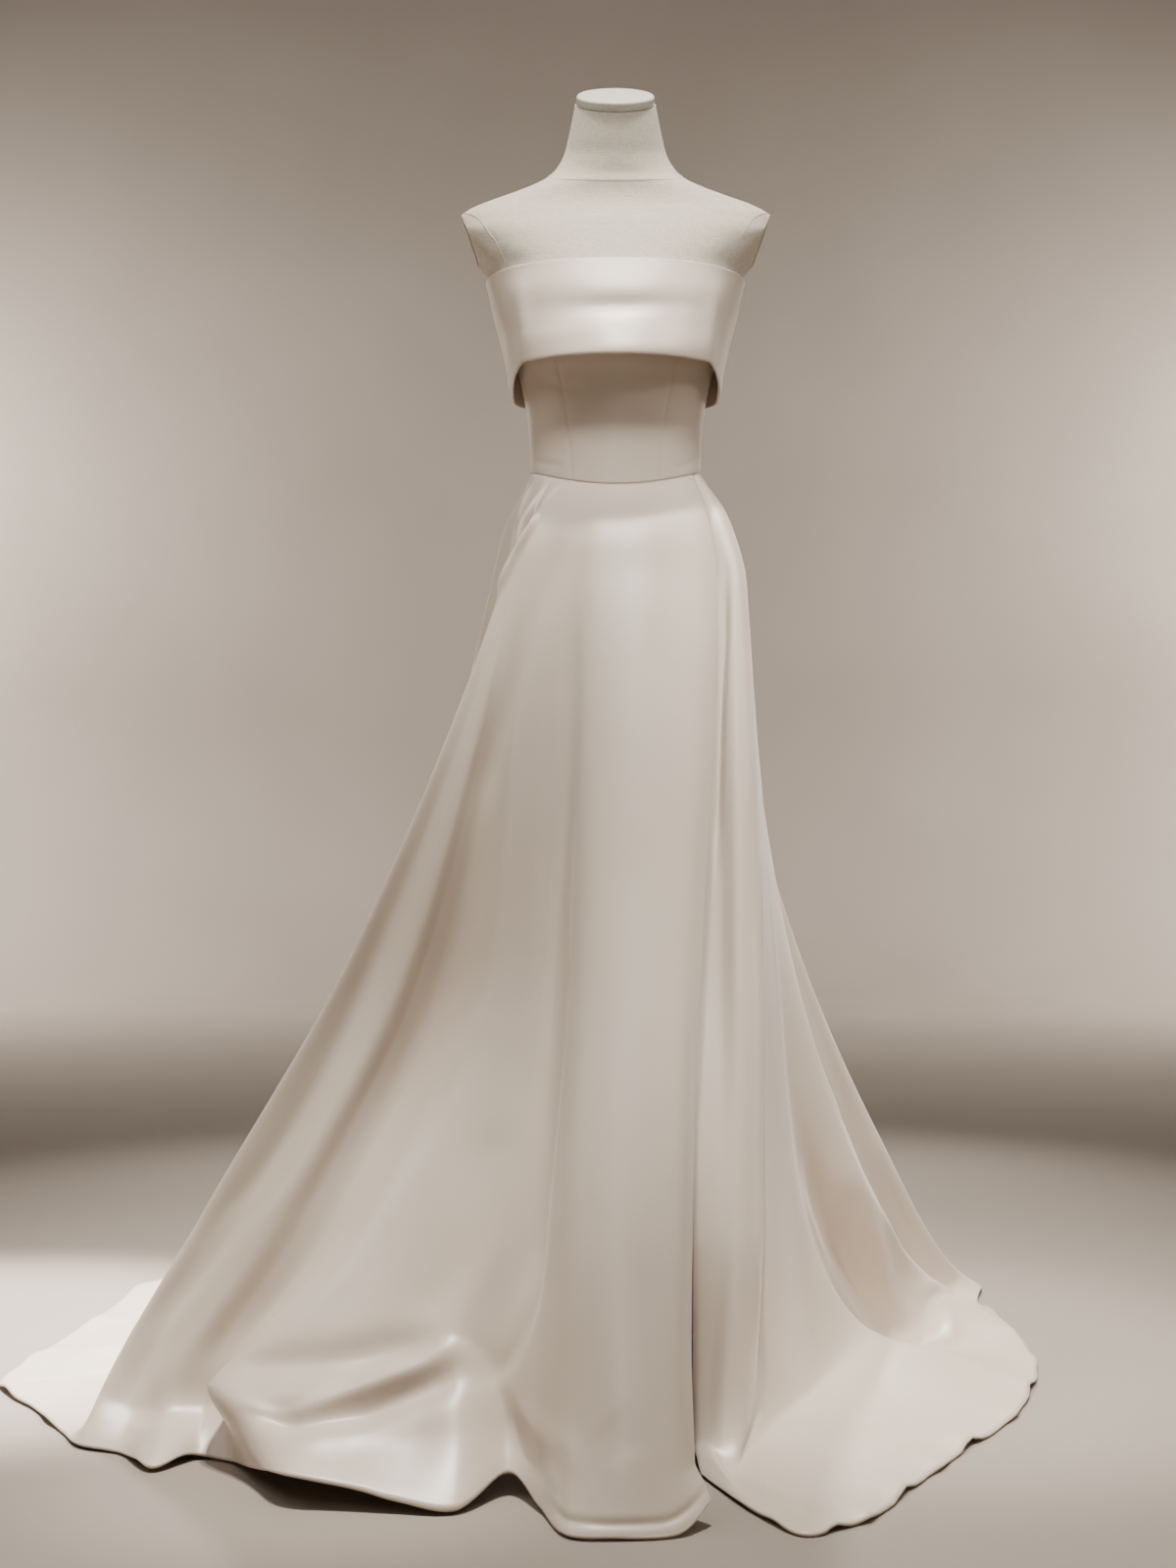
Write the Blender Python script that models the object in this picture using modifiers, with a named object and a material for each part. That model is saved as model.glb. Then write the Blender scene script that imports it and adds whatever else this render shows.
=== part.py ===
# A strapless a-line gown with a fold-over band and a sweep train, on a limbless dress form.
# Metres, +Z up. The front faces -Y, and the origin is under the middle of the form's floor base.
import math

import bmesh
import bpy
import numpy as np
from mathutils import Matrix, Vector

GOWN = "a_line_gown"

SATIN_WALL = 0.002
BAND_WALL = 0.003
SEAM_GAP = 0.0003
CLOTH_CLEARANCE = 0.0009
HALF_SEAM = SEAM_GAP / 2

WAIST_HEIGHT = 1.148
WAIST_FRONT_DIP = 0.022
HIP_HEIGHT = 1.0
KNEE_HEIGHT = 0.55
SHIN_HEIGHT = 0.25
YOKE_DROP = 0.4
YOKE_SWELL = 0.62
FLOOR_CLEARANCE = 0.0012

BAND_TOP_FRONT = 1.402
BAND_TOP_SIDE = 1.392
BAND_LOW_FRONT = 1.2756
BAND_LOW_SIDE = 1.241
BAND_CORNER_FROM = math.radians(46)
BAND_CORNER_SPAN = math.radians(36)
BAND_DENT_HEIGHT = 1.337
BAND_DENT_DEPTH = 0.0045
BAND_DENT_HALF_TALL = 0.016
BAND_DENT_HALF_ANGLE = math.radians(36)
BAND_FOLD_THICK = 0.0042
BAND_INSIDE_GAP = 0.0008
BAND_OUTSIDE_GAP = 0.0007
BAND_EDGE_ROUND = 0.0012
BAND_COLUMNS = 32
BAND_ROWS = 8
BODICE_BELOW_BAND_TOP = 0.0048
BODICE_ROWS = 18

FORM_BOTTOM = 0.86
FORM_STEP = 9
DRESSED_FROM = 1.104
DRESSED_TO = 1.404
DRESSED_RINGS = 19
SHOULDER_FROM = 1.415
ARM_PLATE_THICK = 0.0025
ARM_CUT_POINT = Vector((0.1905, 0.0, 1.460))
ARM_CUT_NORMAL = Vector((0.940, 0.0, -0.341)).normalized()
ARM_CUT_FROM = 1.38
ARM_PLATE_MIDDLE = Vector((0.184514, 0.004, 1.4435))
ARM_PLATE_HALF_TALL = 0.029
ARM_PLATE_HALF_DEEP = 0.040
NECK_TILT = math.radians(27)
CAP_RADIUS = 0.0498
CAP_EDGE_ROUND = 0.004
CAP_THICK = 0.012
BASE_RADIUS = 0.165
BASE_THICK = 0.022
SOCKET_RADIUS = 0.036
SOCKET_TALL = 0.012
POLE_RADIUS = 0.016
FLANGE_RADIUS = 0.048
FLANGE_THICK = 0.008

# The form's cross-sections: height, half width, depths to the front and the back of the middle line,
# the middle line's own place, squareness of the outline (2 is an ellipse) and forward tilt in degrees.
FORM_COLUMNS = ("height", "half", "front", "back", "middle", "square", "tilt")
FORM_SECTIONS = (
    (0.860, 0.118, 0.084, 0.098, 0.000, 2.1, 0),
    (0.930, 0.128, 0.091, 0.112, 0.000, 2.1, 0),
    (1.000, 0.125, 0.091, 0.110, 0.000, 2.1, 0),
    (1.060, 0.116, 0.088, 0.098, 0.000, 2.1, 0),
    (1.100, 0.109, 0.085, 0.090, 0.000, 2.1, 0),
    (1.145, 0.1060, 0.084, 0.086, 0.000, 2.1, 0),
    (1.200, 0.1080, 0.088, 0.086, 0.000, 2.1, 0),
    (1.260, 0.1170, 0.101, 0.091, 0.000, 2.15, 0),
    (1.310, 0.1320, 0.120, 0.097, 0.000, 2.2, 0),
    (1.350, 0.1470, 0.123, 0.101, 0.000, 2.3, 0),
    (1.398, 0.1615, 0.108, 0.105, 0.000, 2.5, 0),
    (1.430, 0.1850, 0.093, 0.105, 0.000, 2.9, 0),
    (1.455, 0.2000, 0.079, 0.099, 0.000, 3.2, 0),
    (1.472, 0.2005, 0.067, 0.092, 0.000, 3.2, 0),
    (1.483, 0.1895, 0.060, 0.086, 0.000, 2.9, 0),
    (1.492, 0.1710, 0.056, 0.081, 0.000, 2.7, 0),
    (1.503, 0.1410, 0.053, 0.076, 0.000, 2.5, 0),
    (1.515, 0.1120, 0.052, 0.071, 0.000, 2.3, 2),
    (1.527, 0.0900, 0.051, 0.066, 0.002, 2.1, 4),
    (1.541, 0.0755, 0.052, 0.060, 0.003, 2.0, 7),
    (1.558, 0.0660, 0.052, 0.056, 0.003, 2.0, 11),
    (1.580, 0.0600, 0.051, 0.053, 0.000, 2.0, 17),
    (1.603, 0.0550, 0.050, 0.051, -0.003, 2.0, 23),
    (1.6210, 0.0515, 0.0500, 0.0500, -0.0045, 2.0, 27),
)

# How far the band stands off the bodice at each height, at the front, the sides and the back.
STAND_OFF_COLUMNS = ("height", "front", "side", "back")
BAND_STAND_OFF = (
    (1.240, 0.0490, 0.0118, 0.0080),
    (1.258, 0.0425, 0.0132, 0.0066),
    (1.280, 0.0330, 0.0108, 0.0050),
    (1.320, 0.0150, 0.0062, 0.0030),
    (1.360, 0.0030, 0.0018, 0.0010),
    (1.398, 0.0000, 0.0000, 0.0000),
)

# The princess seams, as angles from the centre front in degrees, at the waist and at the bodice's top.
FRONT_PRINCESS = (30, 41)
BACK_PRINCESS = (148, 140)

# The skirt's fold lines. Each runs from the waist seam to the hem. "angle" is its place on the waist seam,
# in degrees from the centre front towards +X. Then come its places in plan at hip, knee and shin height,
# where it meets the floor or turns out onto it ("foot"), how far it is pulled in halfway from there to the
# hem ("tuck"), and its end on the hem. Lengths are in millimetres.
FOLD_COLUMNS = (
    "name", "angle", "hip_x", "hip_y", "knee_x", "knee_y", "shin_x", "shin_y",
    "foot_x", "foot_y", "foot_z", "tuck", "hem_x", "hem_y", "hem_z",
)
FRONT_PANEL_FOLDS = (
    ("slit_edge", 65, 124, -120, 98, -280, 82, -470, 75, -600, 60, 0, 90, -622, 26),
    ("belly_right", 46, 100, -141, 70, -318, 56, -505, 50, -625, 60, 0, 56, -660, 3),
    ("belly", 22, 46, -158, 14, -340, 0, -525, -5, -640, 60, 0, -10, -671, 3),
    ("belly_left", 2, -8, -160, -32, -334, -46, -512, -50, -618, 60, 0, -54, -664, 3),
    ("belly_flank", -12, -33, -157, -54, -308, -74, -472, -84, -552, 75, 5, -84, -580, 6),
    ("front_crease", -22, -53, -147, -65, -268, -93, -408, -126, -468, 108, 8, -119, -520, 24),
    ("broad_1", -27, -70, -141, -86, -262, -139, -402, -185, -452, 146, 16, -173, -588, 5),
    ("broad_2", -30, -83, -135, -106, -257, -188, -378, -226, -464, 124, 26, -235, -583, 14),
    ("broad_3", -32.5, -94, -129, -124, -248, -229, -360, -282, -462, 102, 26, -290, -574, 26),
    ("nose_crest", -35, -104, -123, -137, -241, -260, -346, -350, -466, 84, 4, -352, -560, 34),
    ("nose_tip", -37, -111, -118, -148, -233, -288, -322, -456, -402, 88, 0, -396, -480, 18),
    ("nose_under", -39, -116, -114, -198, -180, -326, -282, -440, -345, 55, 0, -432, -405, 3),
    ("left_bowl", -41, -121, -110, -226, -187, -362, -270, -470, -335, 52, 0, -470, -392, 3),
    ("left_ridge", -43, -126, -107, -246, -199, -396, -273, -515, -345, 50, 0, -512, -440, 4),
    ("left_valley", -45, -132, -101, -288, -180, -441, -240, -558, -312, 42, 0, -560, -372, 3),
    ("main_ridge", -48, -141, -94, -318, -182, -487, -227, -596, -302, 52, 0, -612, -345, 4),
    ("behind_ridge", -58, -131, -68, -290, -112, -456, -145, -575, -235, 15, 0, -642, -292, 4),
    ("side_pleat", -73, -140, -30, -292, -52, -460, -78, -600, -130, 20, 0, -702, -185, 5),
    ("left_seam", -88, -138, 6, -278, 12, -450, 20, -600, -20, 12, 0, -768, -85, 5),
)
BACK_LEFT_FOLDS = (
    ("back_side_ridge", -106, -163, 48, -276, 104, -466, 160, -630, 120, 25, 0, -752, 100, 3),
    ("back_side_valley", -120, -146, 88, -256, 170, -408, 260, -580, 270, 12, 0, -722, 310, 3),
    ("back_left_ridge", -134, -133, 124, -245, 250, -390, 400, -540, 470, 30, 0, -686, 530, 3),
    ("back_left_valley", -147, -95, 130, -170, 270, -270, 430, -370, 580, 12, 0, -560, 685, 3),
    ("train_left_ridge", -160, -66, 156, -120, 340, -190, 530, -250, 680, 30, 0, -340, 785, 3),
    ("train_left_trough", -170, -33, 144, -58, 312, -90, 510, -120, 690, 12, 0, -170, 815, 3),
    ("centre_back", -180, 0, 152, 0, 330, 0, 535, 0, 710, 20, 0, 0, 825, 3),
)
BACK_RIGHT_FOLDS = (
    ("train_right_trough", -190, 33, 144, 58, 312, 86, 505, 115, 680, 12, 0, 155, 810, 3),
    ("train_right_ridge", -200, 66, 156, 120, 335, 180, 515, 235, 665, 30, 0, 305, 770, 3),
    ("back_right_valley", -213, 95, 130, 160, 265, 240, 415, 320, 550, 12, 0, 440, 660, 3),
    ("back_right_ridge", -227, 118, 126, 241, 172, 378, 320, 510, 470, 34, 0, 548, 512, 3),
    ("right_seam", -240, 136, 72, 205, 95, 310, 200, 450, 360, 12, 0, 528, 380, 3),
)
SIDE_PANEL_FOLDS = (
    ("right_ridge", -251, 148, 40, 222, 22, 318, 60, 448, 250, 60, 0, 545, 270, 3),
    ("trough", -262, 149, 8, 194, -46, 220, -2, 370, 104, 6, 0, 550, 130, 3),
    ("flare_back", -269, 156, -14, 198, -94, 226, -92, 324, -22, 56, 0, 525, -72, 4),
    ("flare_mid", -275, 160, -28, 191, -118, 211, -138, 255, -140, 28, 0, 450, -260, 3),
    ("flare_front", -279, 162, -38, 185, -140, 194, -188, 205, -270, 28, 0, 350, -430, 3),
    ("tube_crease", -283, 163, -48, 179, -162, 177, -238, 150, -400, 18, 0, 250, -610, 3),
    ("tube_side", -286, 161, -82, 169, -212, 161, -312, 130, -455, 12, 0, 182, -660, 3),
    ("tube_front", -289, 147, -105, 143, -238, 136, -345, 113, -452, 12, 0, 141, -598, 5),
    ("tube_left", -292, 131, -104, 121, -218, 113, -330, 95, -395, 28, 0, 104, -500, 3),
    ("slit_under", -295, 114, -96, 86, -215, 80, -325, 80, -372, 20, 0, 88, -452, 3),
)
# On some folds the cloth turns out this far (in millimetres) before it comes to the fold's foot.
SHELF_DEPTHS = {"broad_1": 6, "broad_2": 14, "broad_3": 22, "nose_crest": 36, "nose_tip": 8}
SHELF_RISE = 0.57
FOOT_STATION = 5
# Rows of cloth between one place of a fold line and the next, from the waist down.
ROWS_PER_STRETCH = (2, 2, 4, 4, 4, 2, 3)
DEGREES_PER_COLUMN = 7
COLUMNS_PER_FOLD = 2

SATIN_COLOUR = (0.82, 0.77, 0.71, 1.0)
LINEN_COLOUR = (0.78, 0.72, 0.62, 1.0)
STEEL_COLOUR = (0.62, 0.60, 0.57, 1.0)


def new_material(name, colour, roughness, metallic=0.0):
    material = bpy.data.materials.new(name)
    material.use_nodes = True
    shader = material.node_tree.nodes["Principled BSDF"]
    shader.inputs["Base Color"].default_value = colour
    shader.inputs["Roughness"].default_value = roughness
    shader.inputs["Metallic"].default_value = metallic
    return material


def steady_curve(knots, values, at):
    """A smooth curve through the values that never swings past them."""
    knots = np.asarray(knots, float)
    values = np.asarray(values, float)
    steps = np.diff(knots)
    slopes = np.diff(values) / steps
    tangents = np.zeros(len(knots))
    tangents[0] = slopes[0]
    tangents[-1] = slopes[-1]
    for k in range(1, len(knots) - 1):
        before, after = slopes[k - 1], slopes[k]
        if before * after > 0:
            weight_a = 2 * steps[k] + steps[k - 1]
            weight_b = steps[k] + 2 * steps[k - 1]
            tangents[k] = (weight_a + weight_b) / (weight_a / before + weight_b / after)
    at = np.asarray(at, float)
    k = np.clip(np.searchsorted(knots, at, side="right") - 1, 0, len(knots) - 2)
    t = np.clip((at - knots[k]) / steps[k], 0.0, 1.0)
    rise = steps[k]
    return (
        values[k] * (1 + 2 * t) * (1 - t) ** 2
        + values[k + 1] * t * t * (3 - 2 * t)
        + tangents[k] * rise * t * (1 - t) ** 2
        - tangents[k + 1] * rise * t * t * (1 - t)
    )


def round_curve(points, counts):
    """A centripetal Catmull-Rom curve through the points, with so many steps between each two."""
    points = np.asarray(points, float)
    ends = np.vstack([2 * points[0] - points[1], points, 2 * points[-1] - points[-2]])

    def mix(first, second, low, high, t):
        return (first * (high - t) + second * (t - low)) / (high - low)

    found = []
    for k, count in enumerate(counts):
        p0, p1, p2, p3 = ends[k:k + 4]
        gaps = [max(np.linalg.norm(b - a), 1e-6) ** 0.5 for a, b in ((p0, p1), (p1, p2), (p2, p3))]
        k0, k1, k2, k3 = np.concatenate([[0.0], np.cumsum(gaps)])
        for step in range(count):
            t = k1 + (k2 - k1) * step / count
            a1 = mix(p0, p1, k0, k1, t)
            a2 = mix(p1, p2, k1, k2, t)
            a3 = mix(p2, p3, k2, k3, t)
            b1 = mix(a1, a2, k0, k2, t)
            b2 = mix(a2, a3, k1, k3, t)
            found.append(mix(b1, b2, k1, k2, t))
    found.append(points[-1])
    return np.array(found)


def column_of(table, columns, name):
    return [row[columns.index(name)] for row in table]


def form_value(name, height):
    """One column of the form's table, read at any height."""
    heights = column_of(FORM_SECTIONS, FORM_COLUMNS, "height")
    return float(steady_curve(heights, column_of(FORM_SECTIONS, FORM_COLUMNS, name), height))


def form_point(height, angle, out=0.0):
    """A point on the form's cross-section, moved outwards. The angle runs from the front towards +X."""
    half = form_value("half", height)
    square = form_value("square", height)
    sine, cosine = math.sin(angle), math.cos(angle)
    depth = form_value("front", height) if cosine > 0 else form_value("back", height)
    x = half * math.copysign(abs(sine) ** (2 / square), sine)
    y = -depth * math.copysign(abs(cosine) ** (2 / square), cosine)
    normal_x = math.copysign(abs(x / half) ** (square - 1), x) / half
    normal_y = math.copysign(abs(y / depth) ** (square - 1), y) / depth
    length = math.hypot(normal_x, normal_y)
    x += out * normal_x / length
    y += out * normal_y / length
    tilt = math.radians(form_value("tilt", height))
    return np.array([x, form_value("middle", height) + y * math.cos(tilt), height + y * math.sin(tilt)])


def waist_height(angle):
    return WAIST_HEIGHT - WAIST_FRONT_DIP * max(0.0, math.cos(angle)) ** 2


def finish_mesh(name, mesh_data, material, collection):
    mesh = bpy.data.meshes.new(name)
    mesh_data.to_mesh(mesh)
    mesh_data.free()
    mesh.materials.append(material)
    mesh.shade_smooth()
    mesh.set_sharp_from_angle(angle=math.radians(50))
    made = bpy.data.objects.new(name, mesh)
    collection.objects.link(made)
    return made


def closed_wall(name, outer, inner, material, collection):
    """A wall of cloth between two grids of points, closed round its four edges."""
    rows, columns = outer.shape[:2]
    cloth = bmesh.new()
    faces_out = [[cloth.verts.new(outer[r, c]) for c in range(columns)] for r in range(rows)]
    faces_in = [[cloth.verts.new(inner[r, c]) for c in range(columns)] for r in range(rows)]
    for r in range(rows - 1):
        for c in range(columns - 1):
            for side in (faces_out, faces_in):
                cloth.faces.new((side[r][c], side[r][c + 1], side[r + 1][c + 1], side[r + 1][c]))
    for r in range(rows - 1):
        for c in (0, columns - 1):
            cloth.faces.new((faces_out[r][c], faces_out[r + 1][c], faces_in[r + 1][c], faces_in[r][c]))
    for c in range(columns - 1):
        for r in (0, rows - 1):
            cloth.faces.new((faces_out[r][c], faces_out[r][c + 1], faces_in[r][c + 1], faces_in[r][c]))
    bmesh.ops.recalc_face_normals(cloth, faces=cloth.faces)
    return finish_mesh(name, cloth, material, collection)


def closed_rings(rings, closed_loop):
    """A solid through rings of points. A loop of rings joins up; otherwise the two ends are capped."""
    solid = bmesh.new()
    loops = [[solid.verts.new(point) for point in ring] for ring in rings]
    count = len(loops[0])
    pairs = list(zip(loops, loops[1:]))
    if closed_loop:
        pairs.append((loops[-1], loops[0]))
    for first, second in pairs:
        for k in range(count):
            after = (k + 1) % count
            solid.faces.new((first[k], first[after], second[after], second[k]))
    if not closed_loop:
        solid.faces.new(loops[0])
        solid.faces.new(loops[-1])
    bmesh.ops.recalc_face_normals(solid, faces=solid.faces)
    return solid


def make_torso(material, collection):
    """The padded body with its neck, through the form's sections, cut flat where the arms would be."""
    dressed = np.linspace(DRESSED_FROM, DRESSED_TO, DRESSED_RINGS)
    table = np.array(column_of(FORM_SECTIONS, FORM_COLUMNS, "height"))
    below = table[table < DRESSED_FROM]
    above = table[table > SHOULDER_FROM]
    levels = np.concatenate([below, dressed, [SHOULDER_FROM], above])
    around = np.radians(np.arange(0, 360, FORM_STEP))
    rings = [[form_point(level, angle) for angle in around] for level in levels]
    torso = closed_rings(rings, closed_loop=False)
    for side in (1, -1):
        point = Vector((side * ARM_CUT_POINT.x, 0, ARM_CUT_POINT.z))
        normal = Vector((side * ARM_CUT_NORMAL.x, 0, ARM_CUT_NORMAL.z))
        high = {vert for vert in torso.verts if vert.co.z > ARM_CUT_FROM}
        shoulder = [part for part in torso.edges[:] + torso.faces[:] if high.issuperset(part.verts)]
        cut = bmesh.ops.bisect_plane(
            torso, geom=list(high) + shoulder, dist=1e-6, plane_co=point, plane_no=normal, clear_outer=True
        )
        rim = [part for part in cut["geom_cut"] if isinstance(part, bmesh.types.BMEdge)]
        bmesh.ops.edgeloop_fill(torso, edges=rim)
    bmesh.ops.recalc_face_normals(torso, faces=torso.faces)
    return finish_mesh("form_torso", torso, material, collection)


def make_arm_plates(material, collection):
    """A thin oval plate lies on each flat cut."""
    tilt = math.atan2(-ARM_CUT_NORMAL.z, ARM_CUT_NORMAL.x)
    for side, name in ((1, "arm_plate_left"), (-1, "arm_plate_right")):
        plate = bmesh.new()
        bmesh.ops.create_cone(
            plate, cap_ends=True, segments=32, radius1=1.0, radius2=0.96, depth=ARM_PLATE_THICK
        )
        bmesh.ops.scale(plate, vec=(ARM_PLATE_HALF_TALL, ARM_PLATE_HALF_DEEP, 1.0), verts=plate.verts)
        outwards = Vector((side * ARM_CUT_NORMAL.x, 0, ARM_CUT_NORMAL.z))
        turn = Matrix.Rotation(side * (math.pi / 2 + tilt), 4, "Y")
        middle = Vector((side * ARM_PLATE_MIDDLE.x, ARM_PLATE_MIDDLE.y, ARM_PLATE_MIDDLE.z))
        middle += outwards * (SEAM_GAP + ARM_PLATE_THICK / 2)
        bmesh.ops.transform(plate, matrix=Matrix.Translation(middle) @ turn, verts=plate.verts)
        finish_mesh(name, plate, material, collection)


def make_neck_cap(material, collection):
    """A padded disc on the neck, tilted forward with it, with a rounded upper edge."""
    tilt = Matrix.Rotation(NECK_TILT, 4, "X")
    bevel = CAP_EDGE_ROUND * (1 - math.sqrt(0.5))
    heights = (0.0, CAP_THICK - CAP_EDGE_ROUND, CAP_THICK - bevel, CAP_THICK)
    radii = (CAP_RADIUS, CAP_RADIUS, CAP_RADIUS - bevel, CAP_RADIUS - CAP_EDGE_ROUND)
    around = np.radians(np.arange(0, 360, FORM_STEP))
    top = FORM_SECTIONS[-1][0]
    base = Vector((0, form_value("middle", top), top)) + tilt @ Vector((0, 0, SEAM_GAP))
    rings = []
    for height, radius in zip(heights, radii):
        rings.append([
            base + tilt @ Vector((radius * math.sin(a), -radius * math.cos(a), height)) for a in around
        ])
    cap = closed_rings(rings, closed_loop=False)
    finish_mesh("neck_cap", cap, material, collection)


def make_stand(material, collection):
    """A pole between a flange under the torso and a heavy round base on the floor."""
    profile = (
        (0.0, BASE_THICK + SOCKET_TALL),
        (SOCKET_RADIUS - 0.006, BASE_THICK + SOCKET_TALL),
        (SOCKET_RADIUS, BASE_THICK + 0.003),
        (BASE_RADIUS - 0.012, BASE_THICK),
        (BASE_RADIUS - 0.003, BASE_THICK - 0.005),
        (BASE_RADIUS, BASE_THICK - 0.012),
        (BASE_RADIUS, 0.0),
        (0.0, 0.0),
    )
    outline = bmesh.new()
    points = [outline.verts.new((radius, 0, height)) for radius, height in profile]
    for first, second in zip(points, points[1:]):
        outline.edges.new((first, second))
    mesh = bpy.data.meshes.new("floor_base")
    outline.to_mesh(mesh)
    outline.free()
    mesh.materials.append(material)
    base = bpy.data.objects.new("floor_base", mesh)
    collection.objects.link(base)
    turned = base.modifiers.new("turned", "SCREW")
    turned.steps = 48
    turned.render_steps = 48
    turned.use_merge_vertices = True
    turned.merge_threshold = 0.0001
    pole_low = BASE_THICK + SOCKET_TALL + SEAM_GAP
    flange_low = FORM_BOTTOM - SEAM_GAP - FLANGE_THICK
    pole_high = flange_low - SEAM_GAP
    for name, radius, low, high in (
        ("stand_pole", POLE_RADIUS, pole_low, pole_high),
        ("pole_flange", FLANGE_RADIUS, flange_low, FORM_BOTTOM - SEAM_GAP),
    ):
        rod = bmesh.new()
        bmesh.ops.create_cone(
            rod, cap_ends=True, segments=32, radius1=radius, radius2=radius, depth=high - low
        )
        bmesh.ops.translate(rod, vec=(0, 0, (low + high) / 2), verts=rod.verts)
        finish_mesh(name, rod, material, collection)


def seam_angle(seam, height):
    """Where a seam of the bodice lies at a height, between its places at the waist and at the top."""
    share = (height - WAIST_HEIGHT) / (BAND_TOP_FRONT - WAIST_HEIGHT)
    return math.radians(seam[0] + (seam[1] - seam[0]) * share)


def band_top(angle):
    """The band's top edge is highest at the centre front and drops a little to the sides and the back."""
    return BAND_TOP_FRONT + (BAND_TOP_SIDE - BAND_TOP_FRONT) * (1 - max(0.0, math.cos(angle)) ** 2)


def make_bodice_panel(name, first_seam, second_seam, columns, material, collection):
    outer = np.zeros((BODICE_ROWS + 1, columns + 1, 3))
    inner = np.zeros_like(outer)
    for c in range(columns + 1):
        share = c / columns
        at_waist = math.radians(first_seam[0] + (second_seam[0] - first_seam[0]) * share)
        at_top = math.radians(first_seam[1] + (second_seam[1] - first_seam[1]) * share)
        low = waist_height(at_waist) + HALF_SEAM
        high = band_top(at_top) - BODICE_BELOW_BAND_TOP
        for r in range(BODICE_ROWS + 1):
            height = low + (high - low) * r / BODICE_ROWS
            first = seam_angle(first_seam, height)
            second = seam_angle(second_seam, height)
            angle = first + (second - first) * share
            reach = np.linalg.norm(form_point(height, angle + 0.01) - form_point(height, angle)) / 0.01
            if c == 0:
                angle += HALF_SEAM / reach
            if c == columns:
                angle -= HALF_SEAM / reach
            outer[r, c] = form_point(height, angle, CLOTH_CLEARANCE + SATIN_WALL)
            inner[r, c] = form_point(height, angle, CLOTH_CLEARANCE)
    closed_wall(name, outer, inner, material, collection)


def make_bodice(material, collection):
    side = (90, 90)
    back = (180, 180)
    mirrored_front = tuple(-angle for angle in FRONT_PRINCESS)
    mirrored_back = tuple(-angle for angle in BACK_PRINCESS)
    panels = (
        ("bodice_centre_front", mirrored_front, FRONT_PRINCESS, 10),
        ("bodice_side_front_left", FRONT_PRINCESS, side, 8),
        ("bodice_side_front_right", (-90, -90), mirrored_front, 8),
        ("bodice_side_back_left", side, BACK_PRINCESS, 8),
        ("bodice_side_back_right", mirrored_back, (-90, -90), 8),
        ("bodice_back_left", BACK_PRINCESS, back, 5),
        ("bodice_back_right", (-180, -180), mirrored_back, 5),
    )
    for name, first_seam, second_seam, columns in panels:
        make_bodice_panel(name, first_seam, second_seam, columns, material, collection)


def band_stand_off(height, angle):
    """The air between the band and the bodice: none at its top edge, most at its lower edge."""
    heights = column_of(BAND_STAND_OFF, STAND_OFF_COLUMNS, "height")
    front, side, back = (
        float(steady_curve(heights, column_of(BAND_STAND_OFF, STAND_OFF_COLUMNS, name), height))
        for name in ("front", "side", "back")
    )
    facing = math.cos(angle) ** 2
    off = side + ((front if math.cos(angle) > 0 else back) - side) * facing
    dent_share = math.exp(
        -((height - BAND_DENT_HEIGHT) / BAND_DENT_HALF_TALL) ** 2 - (angle / BAND_DENT_HALF_ANGLE) ** 4
    )
    return max(0.0, off - BAND_DENT_DEPTH * dent_share)


def band_low_edge(angle):
    """The lower edge is level across the front, then drops towards the sides."""
    turned = (abs(angle) - BAND_CORNER_FROM) / BAND_CORNER_SPAN
    share = min(1.0, max(0.0, turned))
    return BAND_LOW_FRONT + (BAND_LOW_SIDE - BAND_LOW_FRONT) * share * share * (3 - 2 * share)


def band_section(angle):
    """The band's own cross-section at one angle: (out, height) pairs round the folded cloth."""
    inside = CLOTH_CLEARANCE + SATIN_WALL + BAND_OUTSIDE_GAP
    high = band_top(angle)
    low = band_low_edge(angle)
    under = high - BAND_FOLD_THICK
    heights = [low + (under - low) * k / BAND_ROWS for k in range(BAND_ROWS + 1)]
    face = [(inside + band_stand_off(height, angle), height) for height in heights]
    outside = [(out + BAND_WALL, height) for out, height in face]
    top = [
        (inside + BAND_WALL, high - BAND_EDGE_ROUND),
        (inside + BAND_WALL - BAND_EDGE_ROUND, high),
        (BAND_INSIDE_GAP + BAND_EDGE_ROUND / 2, high),
        (BAND_INSIDE_GAP, high - BAND_EDGE_ROUND / 2),
        (BAND_INSIDE_GAP, under),
    ]
    return outside + top + face[::-1]


def make_band(material, collection):
    """The band folds over the bodice's top edge and hangs outside it, in a front and a back half."""
    for name, first, last in (("band_front", -90.0, 90.0), ("band_back", 90.0, 270.0)):
        half_seam_angle = HALF_SEAM / form_value("front", BAND_TOP_SIDE)
        rings = []
        for c in range(BAND_COLUMNS + 1):
            angle = math.radians(first + (last - first) * c / BAND_COLUMNS)
            if c == 0:
                angle += half_seam_angle
            if c == BAND_COLUMNS:
                angle -= half_seam_angle
            turned = (angle + math.pi) % (2 * math.pi) - math.pi
            rings.append([form_point(height, angle, out) for out, height in band_section(turned)])
        band = closed_rings(rings, closed_loop=False)
        finish_mesh(name, band, material, collection)


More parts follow.
